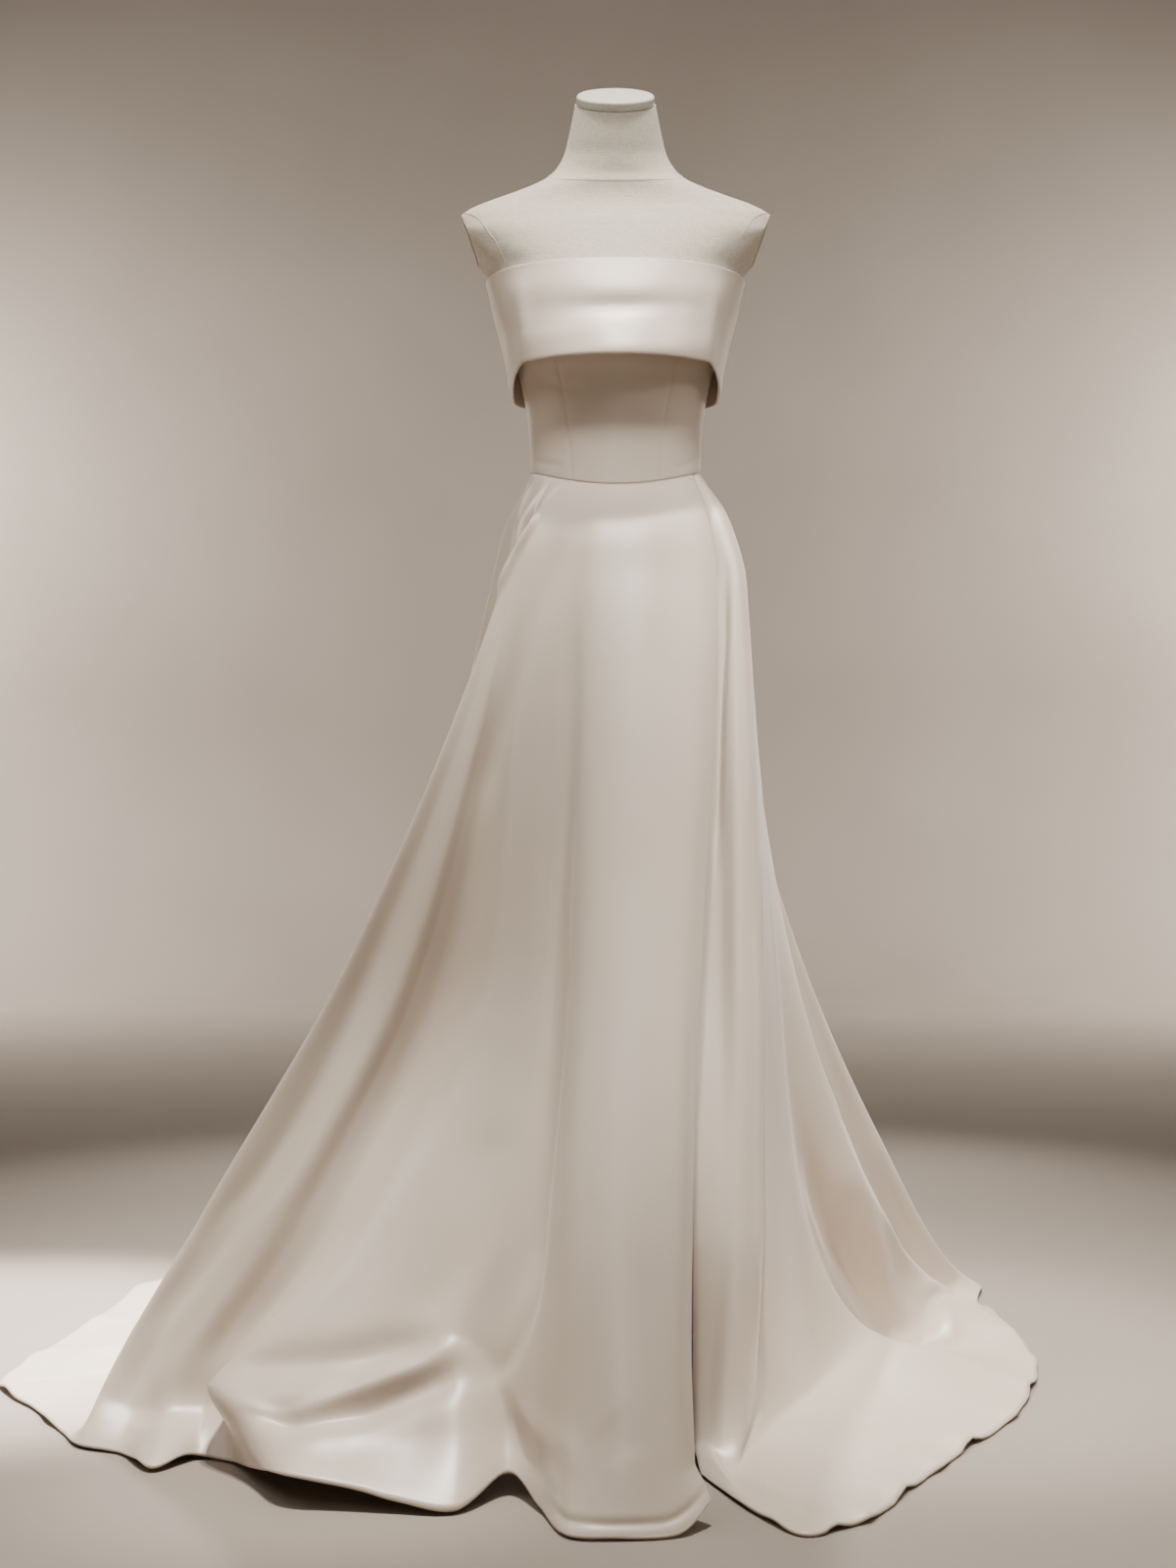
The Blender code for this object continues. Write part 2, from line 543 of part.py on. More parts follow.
def skirt_stations(row):
    """The points that one fold line passes through, from the waist seam to the hem."""
    angle = math.radians(row[FOLD_COLUMNS.index("angle")])
    fold = {name: value / 1000 for name, value in zip(FOLD_COLUMNS[2:], row[2:])}
    waist_z = waist_height(angle)
    waist = form_point(waist_z, angle, CLOTH_CLEARANCE + SATIN_WALL / 2)
    waist[2] = waist_z - HALF_SEAM
    hip = np.array([fold["hip_x"], fold["hip_y"], HIP_HEIGHT])
    yoke = waist + (hip - waist) * YOKE_SWELL
    yoke[2] = waist[2] + (HIP_HEIGHT - waist[2]) * YOKE_DROP
    foot = np.array([fold["foot_x"], fold["foot_y"], fold["foot_z"]])
    hem = np.array([fold["hem_x"], fold["hem_y"], fold["hem_z"]])
    tuck = (foot + hem) / 2
    tuck[:2] -= fold["tuck"] * tuck[:2] / np.linalg.norm(tuck[:2])
    return np.array([
        waist,
        yoke,
        hip,
        (fold["knee_x"], fold["knee_y"], KNEE_HEIGHT),
        (fold["shin_x"], fold["shin_y"], SHIN_HEIGHT),
        foot,
        tuck,
        hem,
    ])


def fold_line(row):
    """One fold line, with the same number of rows in each stretch as every other."""
    stations = skirt_stations(row)
    reach = np.concatenate([[0.0], np.cumsum(np.linalg.norm(np.diff(stations, axis=0), axis=1))])
    at = [reach[0]]
    for k, count in enumerate(ROWS_PER_STRETCH):
        at.extend(reach[k] + (reach[k + 1] - reach[k]) * step / count for step in range(1, count + 1))
    shelf = SHELF_DEPTHS.get(row[0], 0) / 1000
    if shelf:
        foot = stations[FOOT_STATION]
        turn = foot.copy()
        turn[:2] -= shelf * foot[:2] / np.linalg.norm(foot[:2])
        turn[2] += shelf * SHELF_RISE
        before_foot = reach[FOOT_STATION] - np.linalg.norm(foot - turn)
        reach = np.insert(reach, FOOT_STATION, before_foot)
        stations = np.insert(stations, FOOT_STATION, turn, axis=0)
    return np.stack([steady_curve(reach, stations[:, axis], at) for axis in range(3)], axis=1)


def skirt_surface():
    """The middle of the skirt's cloth as a grid, with its directions and the column of each named fold."""
    folds = FRONT_PANEL_FOLDS + BACK_LEFT_FOLDS + BACK_RIGHT_FOLDS + SIDE_PANEL_FOLDS
    lines = np.array([fold_line(row) for row in folds])
    angles = np.array(column_of(folds, FOLD_COLUMNS, "angle"), float)
    spans = np.abs(np.diff(angles))
    counts = [max(COLUMNS_PER_FOLD, math.ceil(span / DEGREES_PER_COLUMN)) for span in spans]
    grid = np.array([round_curve(lines[:, r], counts) for r in range(lines.shape[1])])
    columns = np.concatenate([[0], np.cumsum(counts)])
    waist_angles = np.interp(np.arange(columns[-1] + 1), columns, angles)
    hip_row = sum(ROWS_PER_STRETCH[:2])
    for c, degrees in enumerate(waist_angles):
        angle = math.radians(degrees)
        seam = form_point(waist_height(angle), angle, CLOTH_CLEARANCE + SATIN_WALL / 2)
        seam[2] = waist_height(angle) - HALF_SEAM
        shift = seam - grid[0, c]
        for r in range(hip_row):
            grid[r, c] += shift * (1 - r / hip_row) ** 2
    grid[:, :, 2] = np.maximum(grid[:, :, 2], FLOOR_CLEARANCE + SATIN_WALL / 2)
    across = np.gradient(grid, axis=1)
    down = np.gradient(grid, axis=0)
    outwards = np.cross(across, down)
    outwards[0, :, 2] = 0.0
    outwards /= np.linalg.norm(outwards, axis=2, keepdims=True)
    along = across / np.linalg.norm(across, axis=2, keepdims=True)
    places = dict(zip((row[0] for row in folds), columns))
    return grid, outwards, along, places


def make_skirt(material, collection):
    grid, outwards, along, places = skirt_surface()
    panels = (
        ("skirt_front", "slit_edge", "left_seam"),
        ("skirt_back_right", "left_seam", "centre_back"),
        ("skirt_back_left", "centre_back", "right_seam"),
        ("skirt_side", "right_seam", "slit_under"),
    )
    for name, first, last in panels:
        low, high = places[first], places[last]
        middle = grid[:, low:high + 1].copy()
        middle[:, 0] += along[:, low] * HALF_SEAM
        middle[:, -1] -= along[:, high] * HALF_SEAM
        off = outwards[:, low:high + 1] * SATIN_WALL / 2
        closed_wall(name, middle + off, middle - off, material, collection)


def main():
    for old in list(bpy.data.objects):
        bpy.data.objects.remove(old, do_unlink=True)
    parts = bpy.data.collections.new(GOWN)
    bpy.context.scene.collection.children.link(parts)
    satin = new_material("ivory_satin", SATIN_COLOUR, 0.42)
    linen = new_material("cream_linen", LINEN_COLOUR, 0.9)
    steel = new_material("painted_steel", STEEL_COLOUR, 0.45)
    make_torso(linen, parts)
    make_arm_plates(linen, parts)
    make_neck_cap(linen, parts)
    make_stand(steel, parts)
    make_bodice(satin, parts)
    make_band(satin, parts)
    make_skirt(satin, parts)


main()
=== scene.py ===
# Strapless a-line gown with a fold-over band and a sweep train, resting on a limbless dress form.
# Metres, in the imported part's own frame: +Z up, the front faces -Y. Tables marked mm are in millimetres.
import math

import bmesh
import bpy
import numpy as np
from mathutils import Matrix, Vector


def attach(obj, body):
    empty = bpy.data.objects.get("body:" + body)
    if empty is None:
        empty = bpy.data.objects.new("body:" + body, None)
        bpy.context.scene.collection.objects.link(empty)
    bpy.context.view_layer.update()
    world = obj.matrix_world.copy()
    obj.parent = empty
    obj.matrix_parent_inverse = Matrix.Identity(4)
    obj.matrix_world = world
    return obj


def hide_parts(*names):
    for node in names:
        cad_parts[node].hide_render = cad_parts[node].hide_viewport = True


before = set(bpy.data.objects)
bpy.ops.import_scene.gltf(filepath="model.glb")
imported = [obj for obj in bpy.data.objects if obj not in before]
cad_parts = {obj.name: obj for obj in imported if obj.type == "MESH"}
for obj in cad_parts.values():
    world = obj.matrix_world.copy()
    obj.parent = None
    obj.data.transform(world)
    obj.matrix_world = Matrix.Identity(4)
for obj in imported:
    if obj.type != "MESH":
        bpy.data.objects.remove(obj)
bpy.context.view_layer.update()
mm = 0.001


# Camera, floor and lights

cameraSetup = {"lens": 53.8, "sensor": 36.0, "place": (-0.035, -3.0, 0.753), "turn": (90, 0, 0)}

studio = {
    "floorRadius": 5.2,
    "coveRadius": 1.1,
    "wallTop": 6.0,
    "floorColour": (0.31, 0.265, 0.222, 1),
    "floorColourTwo": (0.28, 0.238, 0.198, 1),
    "floorPatches": ((1, 1, 1), 1.2, 2.0),
    "floorRoughness": 0.75,
    "floorSpecular": 0.25,
    "skyColour": (1.0, 0.97, 0.93, 1),
    "skyPower": 0.06,
    "spotBlend": 0.8,
}

warmLamp, paleLamp, wallLamp = (1, 0.95, 0.88), (1, 0.98, 0.96), (1, 0.96, 0.93)

# name: place, aimed at, width of the lamp, power, colour, and the beam's angle for a spotlight
studioLights = {
    "topLight": ((0.03, -0.52, 4.4), (-0.05, -0.25, 0.4), 0.18, 750, warmLamp, 42),
    "rightSideLight": ((1.45, -0.5, 2.7), (0.1, -0.1, 0.9), 0.9, 7, warmLamp, None),
    "leftSideLight": ((-1.5, -0.6, 2.7), (-0.1, -0.1, 1.1), 0.9, 12, warmLamp, None),
    "rightHighSpot": ((1.35, -1.15, 2.3), (0.1, -0.1, 1.29), 0.4, 45, warmLamp, 13),
    "frontLight": ((0.1, -1.5, 3.0), (0.0, 0.0, 1.25), 0.7, 5, (1.0, 0.955, 0.9), None),
    "bandSpot": ((0.05, -1.5, 3.0), (0.0, -0.14, 1.32), 0.4, 270, paleLamp, 15),
    "bodiceSpot": ((0.1, -2.8, 1.2), (0.0, -0.05, 1.22), 0.5, 24, (1.0, 0.93, 0.85), 13),
    "leftSpot": ((-1.02, 0.3, 3.1), (-0.9, 0.16, 0.0), 0.12, 2100, paleLamp, 24),
    "rightSpot": ((0.72, -0.85, 3.0), (0.38, 0.03, 0.12), 0.12, 430, (1.0, 0.965, 0.92), 26),
    "noseSpot": ((-0.32, -0.6, 3.2), (-0.33, -0.46, 0.1), 0.1, 260, (1.0, 0.97, 0.93), 13),
    "backSpot": ((0.1, 2.2, 3.2), (0.0, 0.75, 0.0), 0.2, 560, (1.0, 0.97, 0.94), 55),
    "leftWallLight": ((-3.0, 4.6, 2.0), (-1.5, 6.3, 0.9), 1.2, 165, wallLamp, None),
    "rightWallLight": ((3.0, 4.6, 2.0), (1.5, 6.3, 0.9), 1.2, 165, (1.0, 0.96, 0.92), None),
    "nearWallLight": ((0.0, -4.9, 4.2), (0.0, -6.3, 1.2), 1.4, 55, wallLamp, None),
    "leftFarLight": ((-4.9, 0.0, 4.2), (-6.3, 0.0, 1.2), 1.4, 80, wallLamp, None),
    "rightFarLight": ((4.9, 0.0, 4.2), (6.3, 0.0, 1.2), 1.4, 80, wallLamp, None),
}


def newObject(name, data):
    made = bpy.data.objects.new(name, data)
    bpy.context.scene.collection.objects.link(made)
    return made


def setCamera():
    data = bpy.data.cameras.new("photoCamera")
    data.lens = cameraSetup["lens"]
    data.sensor_width = cameraSetup["sensor"]
    data.sensor_fit = "AUTO"
    made = newObject("photoCamera", data)
    made.location = cameraSetup["place"]
    made.rotation_euler = [math.radians(turn) for turn in cameraSetup["turn"]]
    bpy.context.scene.camera = made


def setLights():
    for name, (place, target, width, power, colour, beam) in studioLights.items():
        data = bpy.data.lights.new(name, "SPOT" if beam else "AREA")
        if beam:
            data.spot_size = math.radians(beam)
            data.spot_blend = studio["spotBlend"]
            data.shadow_soft_size = width / 2
        else:
            data.shape = "DISK"
            data.size = width
        data.energy = power
        data.color = colour
        lamp = newObject(name, data)
        lamp.location = place
        lamp.rotation_mode = "QUATERNION"
        lamp.rotation_quaternion = (Vector(target) - Vector(place)).to_track_quat("-Z", "Y")
    world = bpy.data.worlds.new("softSky")
    world.use_nodes = True
    world.node_tree.nodes["Background"].inputs["Color"].default_value = studio["skyColour"]
    world.node_tree.nodes["Background"].inputs["Strength"].default_value = studio["skyPower"]
    bpy.context.scene.world = world


# Finishes

def newFinish(name, roughness):
    material = bpy.data.materials.new(name)
    material.use_nodes = True
    nodes, links = material.node_tree.nodes, material.node_tree.links
    shader = nodes["Principled BSDF"]
    shader.inputs["Roughness"].default_value = roughness
    return material, nodes, links, shader


def placedNoise(nodes, links, stretch, scale, detail=2.0, roughness=0.5):
    place = nodes.new("ShaderNodeTexCoord")
    mapping = nodes.new("ShaderNodeMapping")
    mapping.inputs["Scale"].default_value = stretch
    noise = nodes.new("ShaderNodeTexNoise")
    noise.inputs["Scale"].default_value = scale
    noise.inputs["Detail"].default_value = detail
    noise.inputs["Roughness"].default_value = roughness
    links.new(place.outputs["Object"], mapping.inputs["Vector"])
    links.new(mapping.outputs["Vector"], noise.inputs["Vector"])
    return noise.outputs["Fac"]


def blendColours(nodes, links, factor, first, second, low=0.3, high=0.7):
    ramp = nodes.new("ShaderNodeValToRGB")
    ramp.color_ramp.elements[0].position = low
    ramp.color_ramp.elements[0].color = first
    ramp.color_ramp.elements[1].position = high
    ramp.color_ramp.elements[1].color = second
    links.new(factor, ramp.inputs["Fac"])
    return ramp.outputs["Color"]


def spread(nodes, links, factor, low, high):
    reach = nodes.new("ShaderNodeMapRange")
    reach.inputs["To Min"].default_value = low
    reach.inputs["To Max"].default_value = high
    links.new(factor, reach.inputs["Value"])
    return reach.outputs["Result"]


def addBump(nodes, links, shader, height, strength, distance, under=None):
    bump = nodes.new("ShaderNodeBump")
    bump.inputs["Strength"].default_value = strength
    bump.inputs["Distance"].default_value = distance
    links.new(height, bump.inputs["Height"])
    if under is not None:
        links.new(under, bump.inputs["Normal"])
    links.new(bump.outputs["Normal"], shader.inputs["Normal"])
    return bump.outputs["Normal"]


satin = {
    "light": (0.66, 0.565, 0.47, 1), "deep": (0.61, 0.51, 0.412, 1),
    "roughness": 0.4, "roughnessSpread": (0.35, 0.46),
    "sheen": 0.22, "sheenRoughness": 0.4, "specular": 0.85,
    # each noise: stretch, scale, detail and roughness
    "tone": ((1, 1, 0.5), 5.0, 3.0),
    "clouds": ((1, 1, 0.4), 14.0, 2.0),
    "floats": ((1.0, 1.0, 0.12), 1500.0, 1.0),  # the weave's long warp floats
    "slubs": ((0.25, 0.25, 1.0), 420.0, 2.0),
    "softness": ((1, 1, 0.35), 9.0, 2.0, 0.4),
    # each bump: strength and height
    "softBump": (0.35, 0.004), "slubBump": (0.1, 0.0004), "floatBump": (0.14, 0.0003),
}


def makeSatin(name="ivorySatin"):
    material, nodes, links, shader = newFinish(name, satin["roughness"])
    tone = placedNoise(nodes, links, *satin["tone"])
    links.new(blendColours(nodes, links, tone, satin["deep"], satin["light"]), shader.inputs["Base Color"])
    clouds = placedNoise(nodes, links, *satin["clouds"])
    links.new(spread(nodes, links, clouds, *satin["roughnessSpread"]), shader.inputs["Roughness"])
    shader.inputs["Specular IOR Level"].default_value = satin["specular"]
    shader.inputs["Sheen Weight"].default_value = satin["sheen"]
    shader.inputs["Sheen Roughness"].default_value = satin["sheenRoughness"]
    floats = placedNoise(nodes, links, *satin["floats"])
    slubs = placedNoise(nodes, links, *satin["slubs"])
    soft = placedNoise(nodes, links, *satin["softness"])
    under = addBump(nodes, links, shader, soft, *satin["softBump"])
    under = addBump(nodes, links, shader, slubs, *satin["slubBump"], under)
    addBump(nodes, links, shader, floats, *satin["floatBump"], under)
    return material


linen = {
    "light": (0.62, 0.56, 0.46, 1), "deep": (0.5, 0.44, 0.345, 1), "threadEdges": (0.42, 0.66),
    "roughness": 0.92, "sheen": 0.2, "sheenRoughness": 0.6, "specular": 0.3,
    "warp": ((1.0, 1.0, 0.1), 900.0, 1.0), "weft": ((0.1, 0.1, 1.0), 900.0, 1.0),
    "nubs": ((1, 1, 1), 260.0, 2.0), "nubBump": (0.25, 0.0005), "threadBump": (0.45, 0.0005),
    "capLight": (0.66, 0.62, 0.55, 1), "capDeep": (0.57, 0.53, 0.46, 1),
    "seamLight": (0.57, 0.525, 0.44, 1), "seamDeep": (0.49, 0.445, 0.365, 1),
}


def makeLinen(name="creamLinen", light=linen["light"], deep=linen["deep"]):
    material, nodes, links, shader = newFinish(name, linen["roughness"])
    warp = placedNoise(nodes, links, *linen["warp"])
    weft = placedNoise(nodes, links, *linen["weft"])
    cross = nodes.new("ShaderNodeMath")
    cross.operation = "MAXIMUM"
    links.new(warp, cross.inputs[0])
    links.new(weft, cross.inputs[1])
    threads = cross.outputs["Value"]
    colour = blendColours(nodes, links, threads, deep, light, *linen["threadEdges"])
    links.new(colour, shader.inputs["Base Color"])
    shader.inputs["Sheen Weight"].default_value = linen["sheen"]
    shader.inputs["Sheen Roughness"].default_value = linen["sheenRoughness"]
    shader.inputs["Specular IOR Level"].default_value = linen["specular"]
    nubs = placedNoise(nodes, links, *linen["nubs"])
    under = addBump(nodes, links, shader, nubs, *linen["nubBump"])
    addBump(nodes, links, shader, threads, *linen["threadBump"], under)
    return material


steel = {
    "light": (0.62, 0.6, 0.57, 1), "deep": (0.55, 0.53, 0.5, 1),
    "roughness": 0.5, "roughnessSpread": (0.42, 0.58),
    "grain": ((1, 1, 1), 700.0, 1.0), "grainBump": (0.2, 0.0003),
}


def makeSteel():
    material, nodes, links, shader = newFinish("greyPowderCoat", steel["roughness"])
    grain = placedNoise(nodes, links, *steel["grain"])
    links.new(blendColours(nodes, links, grain, steel["deep"], steel["light"]), shader.inputs["Base Color"])
    links.new(spread(nodes, links, grain, *steel["roughnessSpread"]), shader.inputs["Roughness"])
    addBump(nodes, links, shader, grain, *steel["grainBump"])
    return material


def makeStudio():
    material, nodes, links, shader = newFinish("paleStudioFloor", studio["floorRoughness"])
    patchy = placedNoise(nodes, links, *studio["floorPatches"])
    paint = blendColours(nodes, links, patchy, studio["floorColourTwo"], studio["floorColour"])
    links.new(paint, shader.inputs["Base Color"])
    shader.inputs["Specular IOR Level"].default_value = studio["floorSpecular"]
    # a round cove: a flat floor that turns up into a wall all the way round
    profile = [(studio["floorRadius"] * share, 0.0) for share in (0.0, 0.25, 0.5, 0.75)]
    for turn in quarterTurns(12):
        out = studio["floorRadius"] + studio["coveRadius"] * math.sin(turn)
        profile.append((out, studio["coveRadius"] * (1 - math.cos(turn))))
    profile.append((studio["floorRadius"] + studio["coveRadius"], studio["wallTop"]))
    turns = np.radians(np.arange(0, 361, 5))
    grid = np.array([[(r * math.cos(a), r * math.sin(a), z) for r, z in profile] for a in turns])
    floor = gridObject("studioCove", grid, material)


# Mesh helpers

def quarterTurns(steps):
    return [math.radians(90 * step / steps) for step in range(steps + 1)]


def eased(share):
    return share * share * (3 - 2 * share)


def gridObject(name, grid, material):
    rows, columns = grid.shape[:2]
    index = np.arange(rows * columns).reshape(rows, columns)
    corners = (index[:-1, :-1], index[:-1, 1:], index[1:, 1:], index[1:, :-1])
    quads = np.stack(corners, axis=-1).reshape(-1, 4)
    mesh = bpy.data.meshes.new(name)
    mesh.from_pydata(grid.reshape(-1, 3).tolist(), [], quads.tolist())
    mesh.materials.append(material)
    mesh.shade_smooth()
    return newObject(name, mesh)


def ringObject(name, rings, material, sharpAngle=40, keep=None):
    solid = bmesh.new()
    loops = [[solid.verts.new(point) for point in ring] for ring in rings]
    count = len(loops[0])
    for first, second in zip(loops, loops[1:]):
        for k in range(count):
            after = (k + 1) % count
            solid.faces.new((first[k], first[after], second[after], second[k]))
    solid.faces.new(loops[0])
    solid.faces.new(loops[-1])
    if keep is not None:
        keep(solid)
    bmesh.ops.recalc_face_normals(solid, faces=solid.faces)
    mesh = bpy.data.meshes.new(name)
    solid.to_mesh(mesh)
    solid.free()
    mesh.materials.append(material)
    mesh.shade_smooth()
    mesh.set_sharp_from_angle(angle=math.radians(sharpAngle))
    return newObject(name, mesh)


def thicken(piece, wall, group=None, least=1.0):
    shell = piece.modifiers.new("clothWall", "SOLIDIFY")
    shell.thickness = wall
    shell.offset = 0.0
    shell.use_rim = True
    if group is not None:
        shell.vertex_group = group
        shell.thickness_vertex_group = least


def seamCurve(name, points, radius, material):
    curve = bpy.data.curves.new(name, "CURVE")
    curve.dimensions = "3D"
    curve.bevel_depth = radius
    curve.bevel_resolution = 2
    line = curve.splines.new("POLY")
    line.points.add(len(points) - 1)
    for place, point in zip(line.points, points):
        place.co = (*point, 1.0)
    curve.materials.append(material)
    return newObject(name, curve)


def finishPiece(piece, slotName, *nodeNames):
    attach(piece, "root")
    if nodeNames:
        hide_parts(*nodeNames)
    return piece


def steadyCurve(knots, values, at):
    # a smooth curve through the values that never swings past them
    knots = np.asarray(knots, float)
    values = np.asarray(values, float).reshape(len(knots), -1)
    steps = np.diff(knots)[:, None]
    slopes = np.diff(values, axis=0) / steps
    tangents = np.zeros_like(values)
    tangents[0], tangents[-1] = slopes[0], slopes[-1]
    before, after = slopes[:-1], slopes[1:]
    weightA = 2 * steps[1:] + steps[:-1]
    weightB = steps[1:] + 2 * steps[:-1]
    same = before * after > 0
    safeBefore, safeAfter = np.where(same, before, 1.0), np.where(same, after, 1.0)
    tangents[1:-1] = np.where(same, (weightA + weightB) / (weightA / safeBefore + weightB / safeAfter), 0.0)
    at = np.asarray(at, float).reshape(-1)
    k = np.clip(np.searchsorted(knots, at, side="right") - 1, 0, len(knots) - 2)
    rise = steps[k]
    t = np.clip((at - knots[k])[:, None] / rise, 0.0, 1.0)
    return (
        values[k] * (1 + 2 * t) * (1 - t) ** 2 + values[k + 1] * t * t * (3 - 2 * t)
        + tangents[k] * rise * t * (1 - t) ** 2 - tangents[k + 1] * rise * t * t * (1 - t)
    )


def crowded(share):
    return share - skirt["crowding"] * math.sin(2 * math.pi * share)


def roundCurve(points, counts):
    # a centripetal Catmull-Rom curve across the fold lines, worked out for every row of the cloth at once
    ends = np.concatenate([[2 * points[0] - points[1]], points, [2 * points[-1] - points[-2]]])

    def mix(first, second, low, high, t):
        return (first * (high - t) + second * (t - low)) / (high - low)

    found = []
    for k, count in enumerate(counts):
        p0, p1, p2, p3 = ends[k:k + 4]
        gaps = [
            np.maximum(np.linalg.norm(b - a, axis=1, keepdims=True), 1e-6) ** 0.5
            for a, b in ((p0, p1), (p1, p2), (p2, p3))
        ]
        k0 = np.zeros_like(gaps[0])
        k1 = k0 + gaps[0]
        k2 = k1 + gaps[1]
        k3 = k2 + gaps[2]
        for step in range(count):
            t = k1 + (k2 - k1) * crowded(step / count)
            a1, a2, a3 = mix(p0, p1, k0, k1, t), mix(p1, p2, k1, k2, t), mix(p2, p3, k2, k3, t)
            found.append(mix(mix(a1, a2, k0, k2, t), mix(a2, a3, k1, k3, t), k1, k2, t))
    found.append(points[-1])
    return np.array(found)


# step along a crease in mm, the share that fades at each end, what is left there, and the cloth looked at
creasing = {"step": 14, "fadeShare": 0.22, "endDepth": 0.1, "widths": 4, "margin": 0.03}


def creaseReach(places, outwards, path, facing, width):
    # 1 on the crease, fading away from it, towards its two ends, and on cloth that faces another way
    lengths = np.linalg.norm(np.diff(path, axis=0), axis=1)
    starts = np.concatenate([[0.0], np.cumsum(lengths)])
    nearest = np.full(len(places), np.inf)
    along = np.zeros(len(places))
    same = np.ones(len(places))
    for k, length in enumerate(lengths):
        way = (path[k + 1] - path[k]) / max(length, 1e-9)
        run = np.clip((places - path[k]) @ way, 0.0, length)
        away = np.linalg.norm(places - path[k] - run[:, None] * way, axis=1)
        closer = away < nearest
        nearest = np.where(closer, away, nearest)
        along = np.where(closer, starts[k] + run, along)
        same = np.where(closer, outwards @ facing[k], same)
    total = starts[-1]
    fade = np.clip(np.minimum(along, total - along) / (creasing["fadeShare"] * total), 0.0, 1.0)
    fade = creasing["endDepth"] + (1 - creasing["endDepth"]) * eased(fade)
    return np.exp(-(nearest / width) ** 2) * fade * np.clip(2 * same, 0.0, 1.0)


def outwardOf(grid):
    outwards = np.cross(np.gradient(grid, axis=1), np.gradient(grid, axis=0))
    lengths = np.linalg.norm(outwards, axis=2, keepdims=True)
    return outwards / np.maximum(lengths, 1e-9)


def layOnCloth(path, places, outwards):
    # a smooth line through the crease's points, moved on to the cloth
    path = np.asarray(path, float)
    reach = np.concatenate([[0.0], np.cumsum(np.linalg.norm(np.diff(path, axis=0), axis=1))])
    count = max(4, int(reach[-1] / (creasing["step"] * mm)))
    line = steadyCurve(reach, path, np.linspace(0, reach[-1], count))
    facing = np.zeros_like(line)
    for k, point in enumerate(line):
        closest = np.argmin(((places - point) ** 2).sum(axis=1))
        facing[k] = outwards[closest]
        line[k] = point - facing[k] * ((point - places[closest]) @ facing[k])
    return line, facing


def pressCreases(grid, outwards, creases, placeOf):
    places, facings = grid.reshape(-1, 3).copy(), outwards.reshape(-1, 3)
    moved = np.zeros(len(places))
    for _, width, depth, path in creases:
        path = np.array([placeOf(point) for point in path])
        room = creasing["widths"] * width * mm + creasing["margin"]
        inRoom = (places > path.min(axis=0) - room) & (places < path.max(axis=0) + room)
        near = np.flatnonzero(inRoom.all(axis=1))
        if not len(near):
            continue
        line, facing = layOnCloth(path, places[near], facings[near])
        moved[near] += depth * mm * creaseReach(places[near], facings[near], line, facing, width * mm)
    grid += outwards * moved.reshape(grid.shape[:2])[..., None]


# The dress form

formColumns = "height half front back middle square tilt".split()
formSections = (
    (0.86, 0.118, 0.084, 0.098, 0, 2.1, 0),
    (0.93, 0.128, 0.091, 0.112, 0, 2.1, 0),
    (1.0, 0.125, 0.091, 0.11, 0, 2.1, 0),
    (1.06, 0.116, 0.088, 0.098, 0, 2.1, 0),
    (1.1, 0.109, 0.085, 0.09, 0, 2.1, 0),
    (1.145, 0.106, 0.084, 0.086, 0, 2.1, 0),
    (1.2, 0.108, 0.088, 0.086, 0, 2.1, 0),
    (1.26, 0.117, 0.101, 0.091, 0, 2.15, 0),
    (1.31, 0.132, 0.12, 0.097, 0, 2.2, 0),
    (1.35, 0.147, 0.123, 0.101, 0, 2.3, 0),
    (1.398, 0.1615, 0.108, 0.105, 0, 2.5, 0),
    (1.43, 0.185, 0.093, 0.105, 0, 2.9, 0),
    (1.455, 0.2, 0.079, 0.099, 0, 3.2, 0),
    (1.472, 0.2005, 0.067, 0.092, 0, 3.2, 0),
    (1.483, 0.1895, 0.06, 0.086, 0, 2.9, 0),
    (1.492, 0.171, 0.056, 0.081, 0, 2.7, 0),
    (1.503, 0.141, 0.053, 0.076, 0, 2.5, 0),
    (1.515, 0.112, 0.052, 0.071, 0, 2.3, 2),
    (1.527, 0.09, 0.051, 0.066, 0.002, 2.1, 4),
    (1.541, 0.0755, 0.052, 0.06, 0.003, 2.0, 7),
    (1.558, 0.066, 0.052, 0.056, 0.003, 2.0, 11),
    (1.58, 0.06, 0.051, 0.053, 0, 2.0, 17),
    (1.603, 0.055, 0.05, 0.051, -0.003, 2.0, 23),
    (1.621, 0.0515, 0.05, 0.05, -0.0045, 2.0, 27),
)
formTable = np.array(formSections)

torso = {
    "levels": 190, "step": 2.5, "armCutPoint": (0.1905, 0.0, 1.46), "armCutNormal": (0.94, 0.0, -0.341),
    "armCutFrom": 1.38,
}


def readForm(height):
    found = steadyCurve(formTable[:, 0], formTable[:, 1:], height)
    return found.reshape(np.shape(height) + (len(formColumns) - 1,))


def formPoints(height, angle, out=0.0):
    # points on the form's cross-section, moved outwards; the angle runs from the front towards +X
    height, angle, out = np.broadcast_arrays(
        np.asarray(height, float), np.asarray(angle, float), np.asarray(out, float)
    )
    half, front, back, middle, square, tilt = np.moveaxis(readForm(height), -1, 0)
    sine, cosine = np.sin(angle), np.cos(angle)
    depth = np.where(cosine > 0, front, back)
    x = half * np.sign(sine) * np.abs(sine) ** (2 / square)
    y = -depth * np.sign(cosine) * np.abs(cosine) ** (2 / square)
    normalX = np.sign(x) * np.abs(x / half) ** (square - 1) / half
    normalY = np.sign(y) * np.abs(y / depth) ** (square - 1) / depth
    length = np.hypot(normalX, normalY)
    x = x + out * normalX / length
    y = y + out * normalY / length
    lean = np.radians(tilt)
    return np.stack([x, middle + y * np.cos(lean), height + y * np.sin(lean)], axis=-1)


